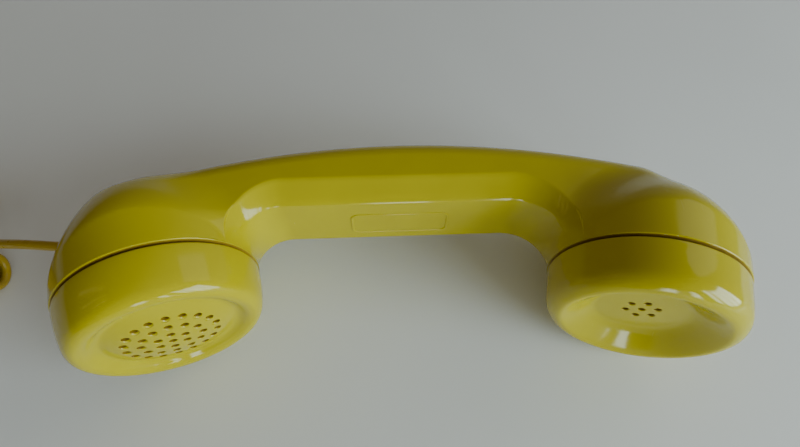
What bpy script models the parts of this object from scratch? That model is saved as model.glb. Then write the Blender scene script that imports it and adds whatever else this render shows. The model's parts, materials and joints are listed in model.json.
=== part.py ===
"""A telephone handset lying on its side, with its retractile cord.

X runs along the handset, from the transmitter to the receiver. The two caps face -Y, the back
of the grip faces +Y, and the floor is z = 0. Lengths are written in millimetres times MM.
"""
import math

import bmesh
import bpy
import numpy as np
from mathutils import Matrix, Vector

MM = 0.001

# ---- driving dimensions, in millimetres ---------------------------------------------------
CENTRE_HEIGHT = 29.45       # height of the handset's middle plane above the floor
ORIGIN_SHIFT = (0.435, -13.565)  # from the drawing's origin to the middle of the handset's box
HEAD_RADIUS = 29.6
CAP_RADIUS = 29.3
SEAM_HALF_GAP = 0.45        # half the open groove between a head and its cap
GAP = 0.3                   # clearance kept between touching pieces

GRIP_HALF_WIDTH = 16.5      # the flat sides of the grip
INNER_FLAT_Y = 25.45        # the grip's flat inner face, which faces the talker
INNER_FLAT_HALF_WIDTH = 11.0
BEVEL_SLOPE = 1.25          # depth of the inner bevels for each millimetre of width
BACK_APEX_Y = 50.1
BACK_ARC_RADIUS = 275.0
BACK_CROWN_RADIUS = 90.0
BACK_EDGE_RADIUS = 7.5
CREASE_RADIUS = 0.8
BLEND_WIDTH = 8.0           # soft join between the grip's flat sides and the heads
DOME_POWER = 1.48           # 2 is a round dome, less is nearer a cone
TRANSMITTER_HEAD_HEIGHT = 47.0  # from the seam to the top of the head's dome
RECEIVER_HEAD_HEIGHT = 38.5
END_STRAIGHT = 3.0          # straight length of a head before its dome, at the end of the handset
FLANK_STRAIGHT = 13.0       # the same at the two flanks, which carry the handset when it lies

NECK_RADIUS = 26.4
NECK_HEIGHT = 6.5
BORE_RADIUS = 25.0
RECEIVER_BORE_RADIUS = 23.3  # behind the mouth that takes the unit's flange
THREAD_PITCH = 2.5
THREAD_SEGMENTS = 24        # for each turn
TOOTH_HALF_BASE = 0.55
TOOTH_HALF_TIP = 0.3
CAP_BORE_RADIUS = 27.7
SHOULDER_HEIGHT = 7.2
SHOULDER_RADIUS = 23.0
TURN_STEPS = 40
SMALL_STEPS = 28

TUNNEL_RADIUS = 7.0
CORD_RADIUS = 1.6
CORD_HOLE_RADIUS = 2.1
CORD_EXIT = (-107.9, 19.0)
COIL_OUTER_RADIUS = 7.3

COLLECTION = "telephone_handset"
CUTTERS = "cutters"


# ---- scene, collections and materials -----------------------------------------------------
def clear_scene():
    for old in list(bpy.data.objects):
        bpy.data.objects.remove(old)


def new_collection(name):
    made = bpy.data.collections.new(name)
    bpy.context.scene.collection.children.link(made)
    return made


clear_scene()
parts = new_collection(COLLECTION)
cutters = new_collection(CUTTERS)


def material(name, colour, roughness, metallic=0.0):
    made = bpy.data.materials.new(name)
    made.use_nodes = True
    shader = made.node_tree.nodes["Principled BSDF"]
    shader.inputs["Base Color"].default_value = (*colour, 1.0)
    shader.inputs["Roughness"].default_value = roughness
    shader.inputs["Metallic"].default_value = metallic
    made.diffuse_color = (*colour, 1.0)
    return made


YELLOW = (0.62, 0.47, 0.02)
CORD_YELLOW = (0.55, 0.38, 0.02)
PALETTE = {
    "yellow_moulding": (YELLOW, 0.2, 0.0),
    "yellow_vinyl": (CORD_YELLOW, 0.4, 0.0),
    "black_moulding": ((0.02, 0.02, 0.02), 0.45, 0.0),
    "brown_phenolic": ((0.2, 0.09, 0.03), 0.5, 0.0),
    "steel": ((0.55, 0.55, 0.54), 0.35, 1.0),
    "aluminium": ((0.75, 0.76, 0.77), 0.3, 1.0),
    "brass": ((0.72, 0.53, 0.2), 0.3, 1.0),
    "gold_plate": ((0.9, 0.68, 0.25), 0.25, 1.0),
    "magnet_iron": ((0.16, 0.16, 0.17), 0.55, 0.8),
    "copper_wire": ((0.7, 0.33, 0.17), 0.35, 1.0),
    "carbon": ((0.03, 0.03, 0.03), 0.8, 0.0),
    "membrane": ((0.75, 0.7, 0.5), 0.4, 0.0),
    "cotton": ((0.82, 0.79, 0.72), 0.95, 0.0),
    "wire_red": ((0.5, 0.03, 0.02), 0.45, 0.0),
    "wire_black": ((0.03, 0.03, 0.03), 0.45, 0.0),
    "wire_white": ((0.78, 0.77, 0.72), 0.45, 0.0),
    "wire_green": ((0.05, 0.3, 0.08), 0.45, 0.0),
}


def finish(piece, name, colour, sharp_angle=30.0):
    """Names a piece, gives it its material and smooth round faces."""
    piece.name = name
    piece.data.name = name
    piece.data.materials.clear()
    piece.data.materials.append(material(name, *PALETTE[colour]))
    if piece.type == "MESH":
        piece.data.shade_smooth()
        piece.data.set_sharp_from_angle(angle=math.radians(sharp_angle))
    return piece


def add_mesh(mesh, collection=parts, parent=None):
    made = bpy.data.objects.new(mesh.name, mesh)
    collection.objects.link(made)
    made.parent = parent
    return made


def mesh_from_bmesh(bm, name="piece"):
    mesh = bpy.data.meshes.new(name)
    bmesh.ops.recalc_face_normals(bm, faces=bm.faces)
    bm.to_mesh(mesh)
    bm.free()
    return mesh


# ---- frames of the handset and of its two heads -------------------------------------------
root = bpy.data.objects.new("handset_origin", None)
parts.objects.link(root)
root.location = (ORIGIN_SHIFT[0] * MM, ORIGIN_SHIFT[1] * MM, 0.0)


class Head:
    """One end of the handset: where its seam is, and which way its cap faces."""

    def __init__(self, name, x, y, tilt_degrees, height):
        tilt = math.radians(tilt_degrees)
        self.height = height
        self.side = 1.0 if x > 0 else -1.0
        self.x = x
        self.y = y
        self.out = (math.sin(tilt), -math.cos(tilt))
        self.across = (math.cos(tilt), math.sin(tilt))
        # The seam's plane passes through the centre of the inner arch's end, so the arch's
        # radius follows from the height of the grip's inner face.
        inward = (-self.side * self.across[0], -self.side * self.across[1])
        self.arch_radius = (INNER_FLAT_Y - y - inward[1] * HEAD_RADIUS) / (1.0 + inward[1])
        reach = HEAD_RADIUS + self.arch_radius
        self.pivot = (x + inward[0] * reach, y + inward[1] * reach)
        self.sweep = math.pi / 2 + self.side * -tilt
        self.empty = bpy.data.objects.new(name, None)
        parts.objects.link(self.empty)
        self.empty.parent = root
        out = Vector((self.out[0], self.out[1], 0.0))
        across = Vector((self.across[0], self.across[1], 0.0))
        turn = Matrix((across, out.cross(across), out)).transposed()
        self.empty.matrix_local = (
            Matrix.Translation((x * MM, y * MM, CENTRE_HEIGHT * MM)) @ turn.to_4x4()
        )

    def ring_direction(self, angle):
        """In the XY plane, from the pivot, at an angle that is 0 along +Y."""
        return (self.side * math.sin(angle), math.cos(angle))

    def place(self, across, behind):
        """The drawing's (x, y) of a point across the seam's centre and behind the seam."""
        return (
            self.x + across * self.across[0] - behind * self.out[0],
            self.y + across * self.across[1] - behind * self.out[1],
        )

    def point(self, across, up, out):
        """The drawing's (x, y, z) of a point given in this head's own frame."""
        return (*self.place(across, -out), CENTRE_HEIGHT + up)


transmitter = Head("transmitter_axis", -76.2, 0.9, 20.3, TRANSMITTER_HEAD_HEIGHT)
receiver = Head("receiver_axis", 76.2, -0.9, -17.4, RECEIVER_HEAD_HEIGHT)
HEADS = (transmitter, receiver)


# ---- the handle's outer surface -----------------------------------------------------------
def smoothstep(value):
    t = np.clip(value, 0.0, 1.0)
    return t * t * (3.0 - 2.0 * t)


def round_both(a, b, radius):
    """Inside both a and b, with their common edge rounded."""
    corner = np.hypot(np.maximum(a + radius, 0.0), np.maximum(b + radius, 0.0))
    return corner + np.minimum(np.maximum(a + radius, b + radius), 0.0) - radius


def soft_either(a, b, width):
    """Inside a or b, with their valley filled."""
    near = np.maximum(width - np.abs(a - b), 0.0)
    return np.minimum(a, b) - near * near / (4.0 * np.maximum(width, 1e-6))


def bevel_depth(z):
    return BEVEL_SLOPE * np.maximum(np.abs(z) - INNER_FLAT_HALF_WIDTH, 0.0)


def inner_depth(x, y, z):
    """How far a point is outside the grip's inner face and the arches at its ends."""
    value = INNER_FLAT_Y + bevel_depth(z) - y
    round_depth = HEAD_RADIUS - np.sqrt(HEAD_RADIUS**2 - np.minimum(z * z, 280.0))
    for head in HEADS:
        dx = head.side * (x - head.pivot[0])
        dy = y - head.pivot[1]
        turned = smoothstep(np.arctan2(np.maximum(dx, 0.0), dy) / head.sweep)
        depth = (1.0 - turned) * bevel_depth(z) + turned * round_depth
        value = np.where(dx > 0.0, head.arch_radius + depth - np.hypot(dx, dy), value)
    return value


def handle_field(x, y, z):
    """Negative inside the handle, in millimetres, z from the middle plane."""
    side = np.abs(z) - GRIP_HALF_WIDTH
    back = y - BACK_APEX_Y + x * x / (2.0 * BACK_ARC_RADIUS) + z * z / (2.0 * BACK_CROWN_RADIUS)
    grip = round_both(side, back, BACK_EDGE_RADIUS)
    grip = round_both(grip, inner_depth(x, y, z), CREASE_RADIUS)
    value = grip
    for head in HEADS:
        dx = x - head.x
        dy = y - head.y
        behind = -(dx * head.out[0] + dy * head.out[1])
        across = dx * head.across[0] + dy * head.across[1]
        ended = round_both(grip, head.side * across, BACK_EDGE_RADIUS)
        radius = np.hypot(across, z)
        flank = (z / np.maximum(radius, 1e-6)) ** 2
        straight = END_STRAIGHT + (FLANK_STRAIGHT - END_STRAIGHT) * flank
        rise = np.maximum(behind - straight, 0.0) / (head.height - straight)
        size = (radius / HEAD_RADIUS) ** DOME_POWER + rise**DOME_POWER
        dome = (size ** (1.0 / DOME_POWER) - 1.0) * HEAD_RADIUS
        dome = round_both(dome, back, BACK_EDGE_RADIUS)
        width = BLEND_WIDTH * smoothstep(behind / 12.0)
        value = np.where(head.side * x > 0.0, soft_either(ended, dome, width), value)
    return value


def ring_angles(turned, counts):
    """Angles around a ring from the inner face to the back; edges follow the surface's own."""
    marks = []
    for grip_angle, seam_angle in ((0, 0), (42.4, 21.8), (73.0, 33.9), (96.0, 86.0),
                                   (104.0, 94.0), (180, 180)):
        marks.append(math.radians(grip_angle + (seam_angle - grip_angle) * turned))
    angles = []
    for start, end, count in zip(marks, marks[1:], counts):
        angles += [start + (end - start) * i / count for i in range(count)]
    return np.array(angles + [2.0 * math.pi - a for a in reversed(angles[1:])] + [math.pi])


def ring_points(origin, direction, middle, turned, counts):
    """One closed ring of the handle, in a plane through origin that holds Z."""
    angles = ring_angles(turned, counts)
    angles.sort()
    dx = -np.cos(angles) * direction[0]
    dy = -np.cos(angles) * direction[1]
    dz = np.sin(angles)
    cx = origin[0] + direction[0] * middle
    cy = origin[1] + direction[1] * middle
    low = np.zeros_like(angles)
    high = np.full_like(angles, 45.0)
    for _ in range(40):
        mid = (low + high) / 2.0
        inside = handle_field(cx + dx * mid, cy + dy * mid, dz * mid) < 0.0
        low = np.where(inside, mid, low)
        high = np.where(inside, high, mid)
    z = np.clip(dz * low, -CENTRE_HEIGHT, CENTRE_HEIGHT)
    return np.stack([cx + dx * low, cy + dy * low, z], 1)


def seam_ring(head, counts):
    """The ring at the edge of a head: a circle, with the narrow flat that the head lies on."""
    angles = ring_angles(1.0, counts)
    angles.sort()
    across = head.side * -HEAD_RADIUS * np.cos(angles)
    x = head.x + across * head.across[0] - SEAM_HALF_GAP * head.out[0]
    y = head.y + across * head.across[1] - SEAM_HALF_GAP * head.out[1]
    z = np.clip(HEAD_RADIUS * np.sin(angles), -CENTRE_HEIGHT, CENTRE_HEIGHT)
    return np.stack([x, y, z], 1)


def handle_rings(counts, arch_rings, grip_rings):
    grip_middle = 37.5
    rings = []
    for head in (transmitter, receiver):
        fan = [seam_ring(head, counts)]
        for i in range(1, arch_rings):
            angle = head.sweep * (1.0 - i / arch_rings)
            if i == 1:
                angle = head.sweep - math.radians(2.4)
            turned = float(smoothstep(angle / head.sweep))
            middle = (grip_middle - head.pivot[1]) * (1.0 - turned)
            middle += (head.arch_radius + HEAD_RADIUS) * turned
            direction = head.ring_direction(angle)
            fan.append(ring_points(head.pivot, direction, middle, turned, counts))
        rings.append(fan)
    grip = []
    for i in range(grip_rings + 1):
        x = transmitter.pivot[0] + (receiver.pivot[0] - transmitter.pivot[0]) * i / grip_rings
        grip.append(ring_points((x, 0.0), (0.0, 1.0), grip_middle, 0.0, counts))
    return rings[0] + grip + rings[1][::-1]


def loft(rings, name):
    """Closed body through rings of equal point counts, in millimetres."""
    bm = bmesh.new()
    rows = []
    for ring in rings:
        rows.append([bm.verts.new((p[0] * MM, p[1] * MM, (p[2] + CENTRE_HEIGHT) * MM)) for p in ring])
    for a, b in zip(rows, rows[1:]):
        for i in range(len(a)):
            j = (i + 1) % len(a)
            bm.faces.new((a[i], a[j], b[j], b[i]))
    bm.faces.new(rows[0][::-1])
    bm.faces.new(rows[-1])
    return mesh_from_bmesh(bm, name)


# ---- turned shapes, tubes and Boolean steps -----------------------------------------------
def evaluated_mesh(source, merge=0.00001):
    """The mesh that an object's modifiers make, with its loose seams joined."""
    bpy.context.view_layer.update()
    depsgraph = bpy.context.evaluated_depsgraph_get()
    mesh = bpy.data.meshes.new_from_object(source.evaluated_get(depsgraph))
    bm = bmesh.new()
    bm.from_mesh(mesh)
    bmesh.ops.remove_doubles(bm, verts=bm.verts, dist=merge)
    open_edges = [e for e in bm.edges if e.is_boundary]
    if open_edges:
        bmesh.ops.holes_fill(bm, edges=open_edges)
    bmesh.ops.recalc_face_normals(bm, faces=bm.faces)
    bm.to_mesh(mesh)
    bm.free()
    return mesh


def profile_mesh(points, closed):
    mesh = bpy.data.meshes.new("profile")
    count = len(points)
    edges = [(i, i + 1) for i in range(count - 1)]
    if closed:
        edges.append((count - 1, 0))
    mesh.from_pydata([(r * MM, 0.0, z * MM) for r, z in points], edges, [])
    return mesh


def turned(points, steps=SMALL_STEPS, closed=True, collection=parts, parent=None, phase=0.5):
    """A body turned about local Z from (radius, height) points, as a mesh object.

    A closed profile makes a ring. An open one starts and ends on the axis.
    """
    source = add_mesh(profile_mesh(points, closed), collection)
    screw = source.modifiers.new("turn", "SCREW")
    screw.steps = steps
    screw.render_steps = steps
    screw.use_merge_vertices = True
    screw.merge_threshold = 0.00001
    screw.use_normal_calculate = True
    mesh = evaluated_mesh(source)
    bpy.data.objects.remove(source)
    mesh.transform(Matrix.Rotation(2.0 * math.pi * phase / steps, 4, "Z"))
    return add_mesh(mesh, collection, parent)


def disc(radius, low, high, bore=0.0, **options):
    """A plain round plate or bush between two heights."""
    if bore > 0.0:
        return turned([(radius, high), (radius, low), (bore, low), (bore, high)], **options)
    return turned([(0.0, high), (radius, high), (radius, low), (0.0, low)], closed=False, **options)


def thread_ridge(root_radius, tip_radius, start, turns, parent):
    """A right-hand helical ridge whose middle starts at a height and rises a pitch a turn."""
    tooth = [
        (root_radius, start - TOOTH_HALF_BASE),
        (tip_radius, start - TOOTH_HALF_TIP),
        (tip_radius, start + TOOTH_HALF_TIP),
        (root_radius, start + TOOTH_HALF_BASE),
    ]
    source = add_mesh(profile_mesh(tooth, True), cutters)
    screw = source.modifiers.new("helix", "SCREW")
    screw.angle = 2.0 * math.pi * turns
    screw.screw_offset = THREAD_PITCH * turns * MM
    screw.steps = round(THREAD_SEGMENTS * turns)
    screw.render_steps = screw.steps
    screw.use_merge_vertices = False
    mesh = evaluated_mesh(source)
    bpy.data.objects.remove(source)
    return as_cutter(add_mesh(mesh, cutters, parent))


def as_cutter(piece):
    piece.hide_render = True
    piece.display_type = "WIRE"
    return piece


def combine(piece, tool, operation):
    """Applies one exact Boolean and keeps the result as the piece's own mesh."""
    step = piece.modifiers.new(operation.lower(), "BOOLEAN")
    step.operation = operation
    step.solver = "EXACT"
    step.object = tool
    bpy.context.view_layer.update()
    depsgraph = bpy.context.evaluated_depsgraph_get()
    mesh = bpy.data.meshes.new_from_object(piece.evaluated_get(depsgraph))
    piece.modifiers.clear()
    bm = bmesh.new()
    bm.from_mesh(mesh)
    bmesh.ops.remove_doubles(bm, verts=bm.verts, dist=0.000002)
    bmesh.ops.dissolve_degenerate(bm, edges=bm.edges, dist=0.000002)
    bm.to_mesh(mesh)
    bm.free()
    piece.data = mesh
    return piece


def smooth_path(points, spacing):
    """Evenly spaced points along a smooth curve through the given ones."""
    route = [Vector(p) for p in points]
    route = [2 * route[0] - route[1]] + route + [2 * route[-1] - route[-2]]
    fine = []
    for a, b, c, d in zip(route, route[1:], route[2:], route[3:]):
        for i in range(24):
            t = i / 24.0
            fine.append(
                0.5 * (2 * b + (c - a) * t + (2 * a - 5 * b + 4 * c - d) * t * t
                       + (3 * b - 3 * c + d - a) * t**3)
            )
    fine.append(route[-2])
    lengths = [0.0]
    for a, b in zip(fine, fine[1:]):
        lengths.append(lengths[-1] + (b - a).length)
    count = max(2, round(lengths[-1] / spacing))
    result = []
    k = 0
    for i in range(count + 1):
        wanted = lengths[-1] * i / count
        while k < len(fine) - 2 and lengths[k + 1] < wanted:
            k += 1
        part = (wanted - lengths[k]) / max(lengths[k + 1] - lengths[k], 1e-9)
        result.append(fine[k].lerp(fine[k + 1], min(part, 1.0)))
    return result


def tube(points, radius, resolution=2, collection=parts, parent=root):
    """A round wire along points in millimetres, as a closed mesh."""
    curve = bpy.data.curves.new("tube", "CURVE")
    curve.dimensions = "3D"
    curve.bevel_depth = radius * MM
    curve.bevel_resolution = resolution
    curve.use_fill_caps = True
    spline = curve.splines.new("POLY")
    spline.points.add(len(points) - 1)
    for point, place in zip(spline.points, points):
        point.co = (place[0] * MM, place[1] * MM, place[2] * MM, 1.0)
    source = bpy.data.objects.new("tube", curve)
    collection.objects.link(source)
    mesh = evaluated_mesh(source)
    bpy.data.objects.remove(source)
    return add_mesh(mesh, collection, parent)


def rod(radius, start, end, steps=SMALL_STEPS, collection=parts, parent=root):
    """A plain round bar between two points in millimetres."""
    a = Vector(start) * MM
    b = Vector(end) * MM
    bm = bmesh.new()
    bmesh.ops.create_cone(
        bm, cap_ends=True, segments=steps, radius1=radius * MM, radius2=radius * MM,
        depth=(b - a).length,
        matrix=Matrix.Translation((a + b) / 2) @ (b - a).to_track_quat("Z", "Y").to_matrix().to_4x4(),
    )
    return add_mesh(mesh_from_bmesh(bm), collection, parent)


def hole_cutter(places, radius, low, high, parent, segments=8):
    """Round cutters along local Z at (x, y) places, joined in one cutter."""
    bm = bmesh.new()
    for x, y in places:
        where = Matrix.Translation((x * MM, y * MM, (low + high) / 2 * MM))
        bmesh.ops.create_cone(
            bm, cap_ends=True, segments=segments, radius1=radius * MM, radius2=radius * MM,
            depth=(high - low) * MM, matrix=where,
        )
    return as_cutter(add_mesh(mesh_from_bmesh(bm), cutters, parent))


def strip(points, width, thickness, parent):
    """A springy strip: a side view in local X and Z, as wide as it is said along local Y."""
    bm = bmesh.new()
    rows = []
    for x, z in points:
        rows.append([bm.verts.new((x * MM, y * width / 2 * MM, z * MM)) for y in (-1, 1)])
    for a, b in zip(rows, rows[1:]):
        bm.faces.new((a[0], b[0], b[1], a[1]))
    source = add_mesh(mesh_from_bmesh(bm), parts)
    thick = source.modifiers.new("thickness", "SOLIDIFY")
    thick.thickness = thickness * MM
    thick.offset = 0.0
    thick.use_even_offset = True
    mesh = evaluated_mesh(source)
    bpy.data.objects.remove(source)
    return add_mesh(mesh, parts, parent)


def spade_lug(parent, thickness=0.5):
    """A fork terminal in the local XY plane, its slot round the origin and its tail along +Y."""
    half = [(1.5, -3.0), (2.6, -3.0), (2.6, 1.2), (1.2, 3.2), (1.2, 7.0)]
    slot = [(-1.5, 0.4), (-0.8, 1.4), (0.8, 1.4), (1.5, 0.4)]
    outline = half + [(-x, y) for x, y in reversed(half)] + slot
    curve = bpy.data.curves.new("lug", "CURVE")
    curve.dimensions = "2D"
    curve.fill_mode = "BOTH"
    curve.extrude = thickness / 2 * MM
    spline = curve.splines.new("POLY")
    spline.points.add(len(outline) - 1)
    for point, (x, y) in zip(spline.points, outline):
        point.co = (x * MM, y * MM, 0.0, 1.0)
    spline.use_cyclic_u = True
    source = bpy.data.objects.new("lug", curve)
    parts.objects.link(source)
    mesh = evaluated_mesh(source)
    bpy.data.objects.remove(source)
    return add_mesh(mesh, parts, parent)


# ---- handle -------------------------------------------------------------------------------
RING_COUNTS = (4, 2, 5, 1, 7)
ARCH_RINGS = 14
GRIP_RINGS = 6
TRANSMITTER_BORE_DEPTH = 15.3
RECEIVER_BORE_DEPTH = 16.1
THREAD_START = 0.85
NECK_THREAD_TURNS = 2.0
CAP_THREAD_TURNS = 1.5
NECK_TOOTH_TIP = 27.3
CAP_TOOTH_TIP = 26.8


def tunnel_route(up=0.0, sideways=0.0):
    """The middle of the wire tunnel, from the transmitter's pocket to the receiver's."""
    route = [transmitter.point(4.0, up, -21.0)]
    route += [(x, y + sideways, CENTRE_HEIGHT + up) for x, y in (
        (-60.0, 31.5), (-42.0, 36.0), (-20.0, 37.6), (0.0, 38.0), (20.0, 37.6), (42.0, 35.6),
        (60.0, 30.5))]
    route.append(receiver.point(-4.0, up, -21.0))
    return route


def make_handle():
    rings = handle_rings(RING_COUNTS, ARCH_RINGS, GRIP_RINGS)
    handle = add_mesh(loft(rings, "handle"), parts, root)
    pockets = ((transmitter, BORE_RADIUS, TRANSMITTER_BORE_DEPTH, 17.0, 29.0),
               (receiver, RECEIVER_BORE_RADIUS, RECEIVER_BORE_DEPTH, 15.0, 27.0))
    for head, bore_radius, bore_depth, pocket_radius, pocket_depth in pockets:
        options = {"collection": cutters, "parent": head.empty, "steps": TURN_STEPS}
        combine(handle, as_cutter(disc(NECK_RADIUS, -1.5, NECK_HEIGHT, **options)), "UNION")
        ridge = thread_ridge(NECK_RADIUS - 0.4, NECK_TOOTH_TIP, THREAD_START,
                             NECK_THREAD_TURNS, head.empty)
        combine(handle, ridge, "UNION")
        mouth = disc(BORE_RADIUS, 4.0, NECK_HEIGHT + 2.0, **options)
        combine(handle, as_cutter(mouth), "DIFFERENCE")
        bore = disc(bore_radius, -bore_depth, NECK_HEIGHT + 2.0, **options)
        combine(handle, as_cutter(bore), "DIFFERENCE")
        pocket = disc(pocket_radius, -pocket_depth, -bore_depth + 1.0, **options)
        combine(handle, as_cutter(pocket), "DIFFERENCE")
    tunnel = tube(smooth_path(tunnel_route(), 12.0), TUNNEL_RADIUS, 3, cutters)
    combine(handle, as_cutter(tunnel), "DIFFERENCE")
    start = (CORD_EXIT[0] - 8.0, CORD_EXIT[1], CENTRE_HEIGHT)
    end = (CORD_EXIT[0] + 13.0, CORD_EXIT[1], CENTRE_HEIGHT)
    combine(handle, as_cutter(rod(CORD_HOLE_RADIUS, start, end, 16, cutters)), "DIFFERENCE")
    return finish(handle, "handle", "yellow_moulding")


# ---- caps ---------------------------------------------------------------------------------
CAP_SKIRT = [(CAP_RADIUS - 0.15, 3.0), (CAP_RADIUS, 0.85), (CAP_RADIUS - 0.4, SEAM_HALF_GAP),
             (CAP_BORE_RADIUS, SEAM_HALF_GAP), (CAP_BORE_RADIUS, SHOULDER_HEIGHT),
             (SHOULDER_RADIUS, SHOULDER_HEIGHT)]
HOLE_PHASE = 17.4
RECEIVER_HOLE_PHASE = 30.3


def hole_places(rings, phase_degrees):
    """(x, y) of holes on rings given as (radius, count)."""
    places = []
    for radius, count in rings:
        for i in range(count):
            angle = math.radians(phase_degrees) + 2.0 * math.pi * i / count
            places.append((radius * math.cos(angle), radius * math.sin(angle)))
    return places


def make_cap(head, name, face, inside, holes, hole_radius):
    """A screw-on cap: its face and inside are (radius, height) points on each side of the skirt."""
    cap = turned(face + CAP_SKIRT + inside, steps=TURN_STEPS, closed=False, parent=head.empty)
    ridge = thread_ridge(CAP_BORE_RADIUS + 0.4, CAP_TOOTH_TIP, THREAD_START + THREAD_PITCH / 2,
                         CAP_THREAD_TURNS, head.empty)
    combine(cap, ridge, "UNION")
    combine(cap, hole_cutter(holes, hole_radius, 5.0, 20.0, head.empty), "DIFFERENCE")
    return finish(cap, name, "yellow_moulding")


def make_caps():
    plate = [(0.0, 16.1), (6.5, 15.8), (13.0, 14.9), (17.0, 13.9), (19.6, 13.4)]
    rim = [(20.5, 13.9), (21.4, 15.2), (22.8, 15.6), (24.6, 15.2), (26.2, 14.1), (27.3, 12.2),
           (28.1, 8.6)]
    under = [(r, z - 2.0) for r, z in reversed(plate)]
    make_cap(transmitter, "transmitter_cap", plate + rim, [(SHOULDER_RADIUS, 11.3)] + under,
             hole_places([(0.0, 1), (13.0 / 3, 6), (26.0 / 3, 12), (13.0, 18)], HOLE_PHASE), 1.1)
    dish = [(0.0, 8.9), (8.6, 8.9), (10.2, 9.4), (14.0, 11.6), (18.0, 13.9), (20.8, 15.4)]
    rim = [(22.6, 15.9), (24.4, 15.5), (26.3, 14.0), (27.8, 11.4), (28.7, 7.8)]
    under = [(18.0, 11.8), (14.0, 9.4), (10.2, 7.3), (8.6, 6.9), (0.0, 6.9)]
    make_cap(receiver, "receiver_cap", dish + rim, [(SHOULDER_RADIUS, 13.2)] + under,
             hole_places([(0.0, 1), (4.6, 6)], RECEIVER_HOLE_PHASE), 1.0)


# ---- transmitter unit, and the cup that it presses on --------------------------------------
CUP_FLOOR = -13.2
SCREW_X = 18.7
LEAF_PIVOT_X = 16.65
LEAF_PIVOT_Z = CUP_FLOOR + 0.5


def make_transmitter_unit():
    unit = {"parent": transmitter.empty}
    housing = [(24.6, 6.9), (24.6, 5.8), (23.9, 5.8), (23.9, -9.3), (6.0, -9.3), (6.0, -8.5),
               (23.1, -8.5), (23.1, 6.0), (21.6, 6.0), (21.6, 6.9)]
    finish(turned(housing, steps=36, **unit), "transmitter_housing", "aluminium")
    grid = disc(22.8, 4.9, 5.7, **unit)
    openings = hole_cutter(hole_places([(12.0, 6)], 0), 2.2, 4.0, 7.0, transmitter.empty)
    combine(grid, openings, "DIFFERENCE")
    finish(grid, "transmitter_front_grid", "aluminium")
    finish(disc(22.8, 4.3, 4.6, **unit), "moisture_membrane", "membrane")
    cone = [(22.6, 3.9), (22.6, 3.5), (20.4, 3.5), (6.2, 1.0), (6.2, 1.4), (20.2, 3.9)]
    finish(turned(cone, **unit), "transmitter_diaphragm", "aluminium")
    dome = [(0.0, 1.7), (5.9, 1.7), (5.9, 0.9), (4.2, 0.2), (0.0, -0.4)]
    finish(turned(dome, closed=False, **unit), "moving_electrode", "gold_plate")
    chamber = [(11.0, 0.4), (11.0, -5.2), (2.3, -5.2), (2.3, -4.0), (9.4, -4.0), (9.4, 0.4)]
    finish(turned(chamber, **unit), "carbon_chamber", "brown_phenolic")
    finish(disc(9.0, -3.7, -2.9, **unit), "fixed_electrode", "gold_plate")
    finish(disc(9.0, -2.6, -0.7, **unit), "carbon_granules", "carbon")
    rivet = [(0.0, -4.0), (1.9, -4.0), (1.9, -8.4), (3.4, -8.4), (3.4, -9.3), (0.0, -9.3)]
    finish(turned(rivet, closed=False, **unit), "contact_rivet", "brass")
    bush = [(8.5, -6.6), (8.5, -8.2), (5.7, -8.2), (5.7, -9.3), (3.7, -9.3), (3.7, -8.1),
            (2.2, -8.1), (2.2, -6.6)]
    finish(turned(bush, **unit), "insulating_bush", "brown_phenolic")


def make_transmitter_cup():
    cup = {"parent": transmitter.empty}
    wall = [(24.6, -9.6), (24.6, -15.0), (4.0, -15.0), (4.0, CUP_FLOOR), (23.2, CUP_FLOOR),
            (23.2, -9.6)]
    body = turned(wall, steps=36, **cup)
    holes = hole_cutter([(-SCREW_X, 0.0), (SCREW_X, 0.0)], 1.5, -16.0, -12.0, transmitter.empty)
    combine(body, holes, "DIFFERENCE")
    combine(body, hole_cutter([(0.0, 12.0)], 3.6, -16.0, -12.0, transmitter.empty), "DIFFERENCE")
    finish(body, "transmitter_cup", "black_moulding")
    for side, name, tip in ((-1.0, "centre", 2.0), (1.0, "rim", 9.0)):
        flat = [(side * 16.8, LEAF_PIVOT_Z), (side * 21.0, LEAF_PIVOT_Z)]
        base = strip(flat, 5.0, 0.4, transmitter.empty)
        hole = hole_cutter([(side * SCREW_X, 0.0)], 1.5, -14.0, -11.0, transmitter.empty)
        finish(combine(base, hole, "DIFFERENCE"), "contact_spring_base_" + name, "brass")
        rise = -9.8 - LEAF_PIVOT_Z
        length = LEAF_PIVOT_X - 0.15 - tip
        shape = [(-side * (0.15 + length * t), rise * smoothstep(t * 1.05)) for t in
                 [i / 8 for i in range(9)]]
        leaf = strip(shape, 4.0, 0.4, transmitter.empty)
        leaf.location = (side * LEAF_PIVOT_X * MM, 0.0, LEAF_PIVOT_Z * MM)
        finish(leaf, "contact_spring_leaf_" + name, "brass")
        head = [(0.0, -10.2), (1.6, -10.2), (2.2, -10.6), (2.2, -11.5), (1.1, -11.5),
                (1.1, -14.8), (0.0, -14.8)]
        screw = turned(head, steps=16, closed=False, parent=transmitter.empty)
        screw.location.x = side * SCREW_X * MM
        finish(screw, "cup_screw_" + name, "steel")
        lug = spade_lug(transmitter.empty)
        lug.location = (side * SCREW_X * MM, 0.0, -12.0 * MM)
        finish(lug, "cup_lug_" + name, "steel")


# ---- receiver unit ------------------------------------------------------------------------
TERMINAL_X = 9.0


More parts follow.
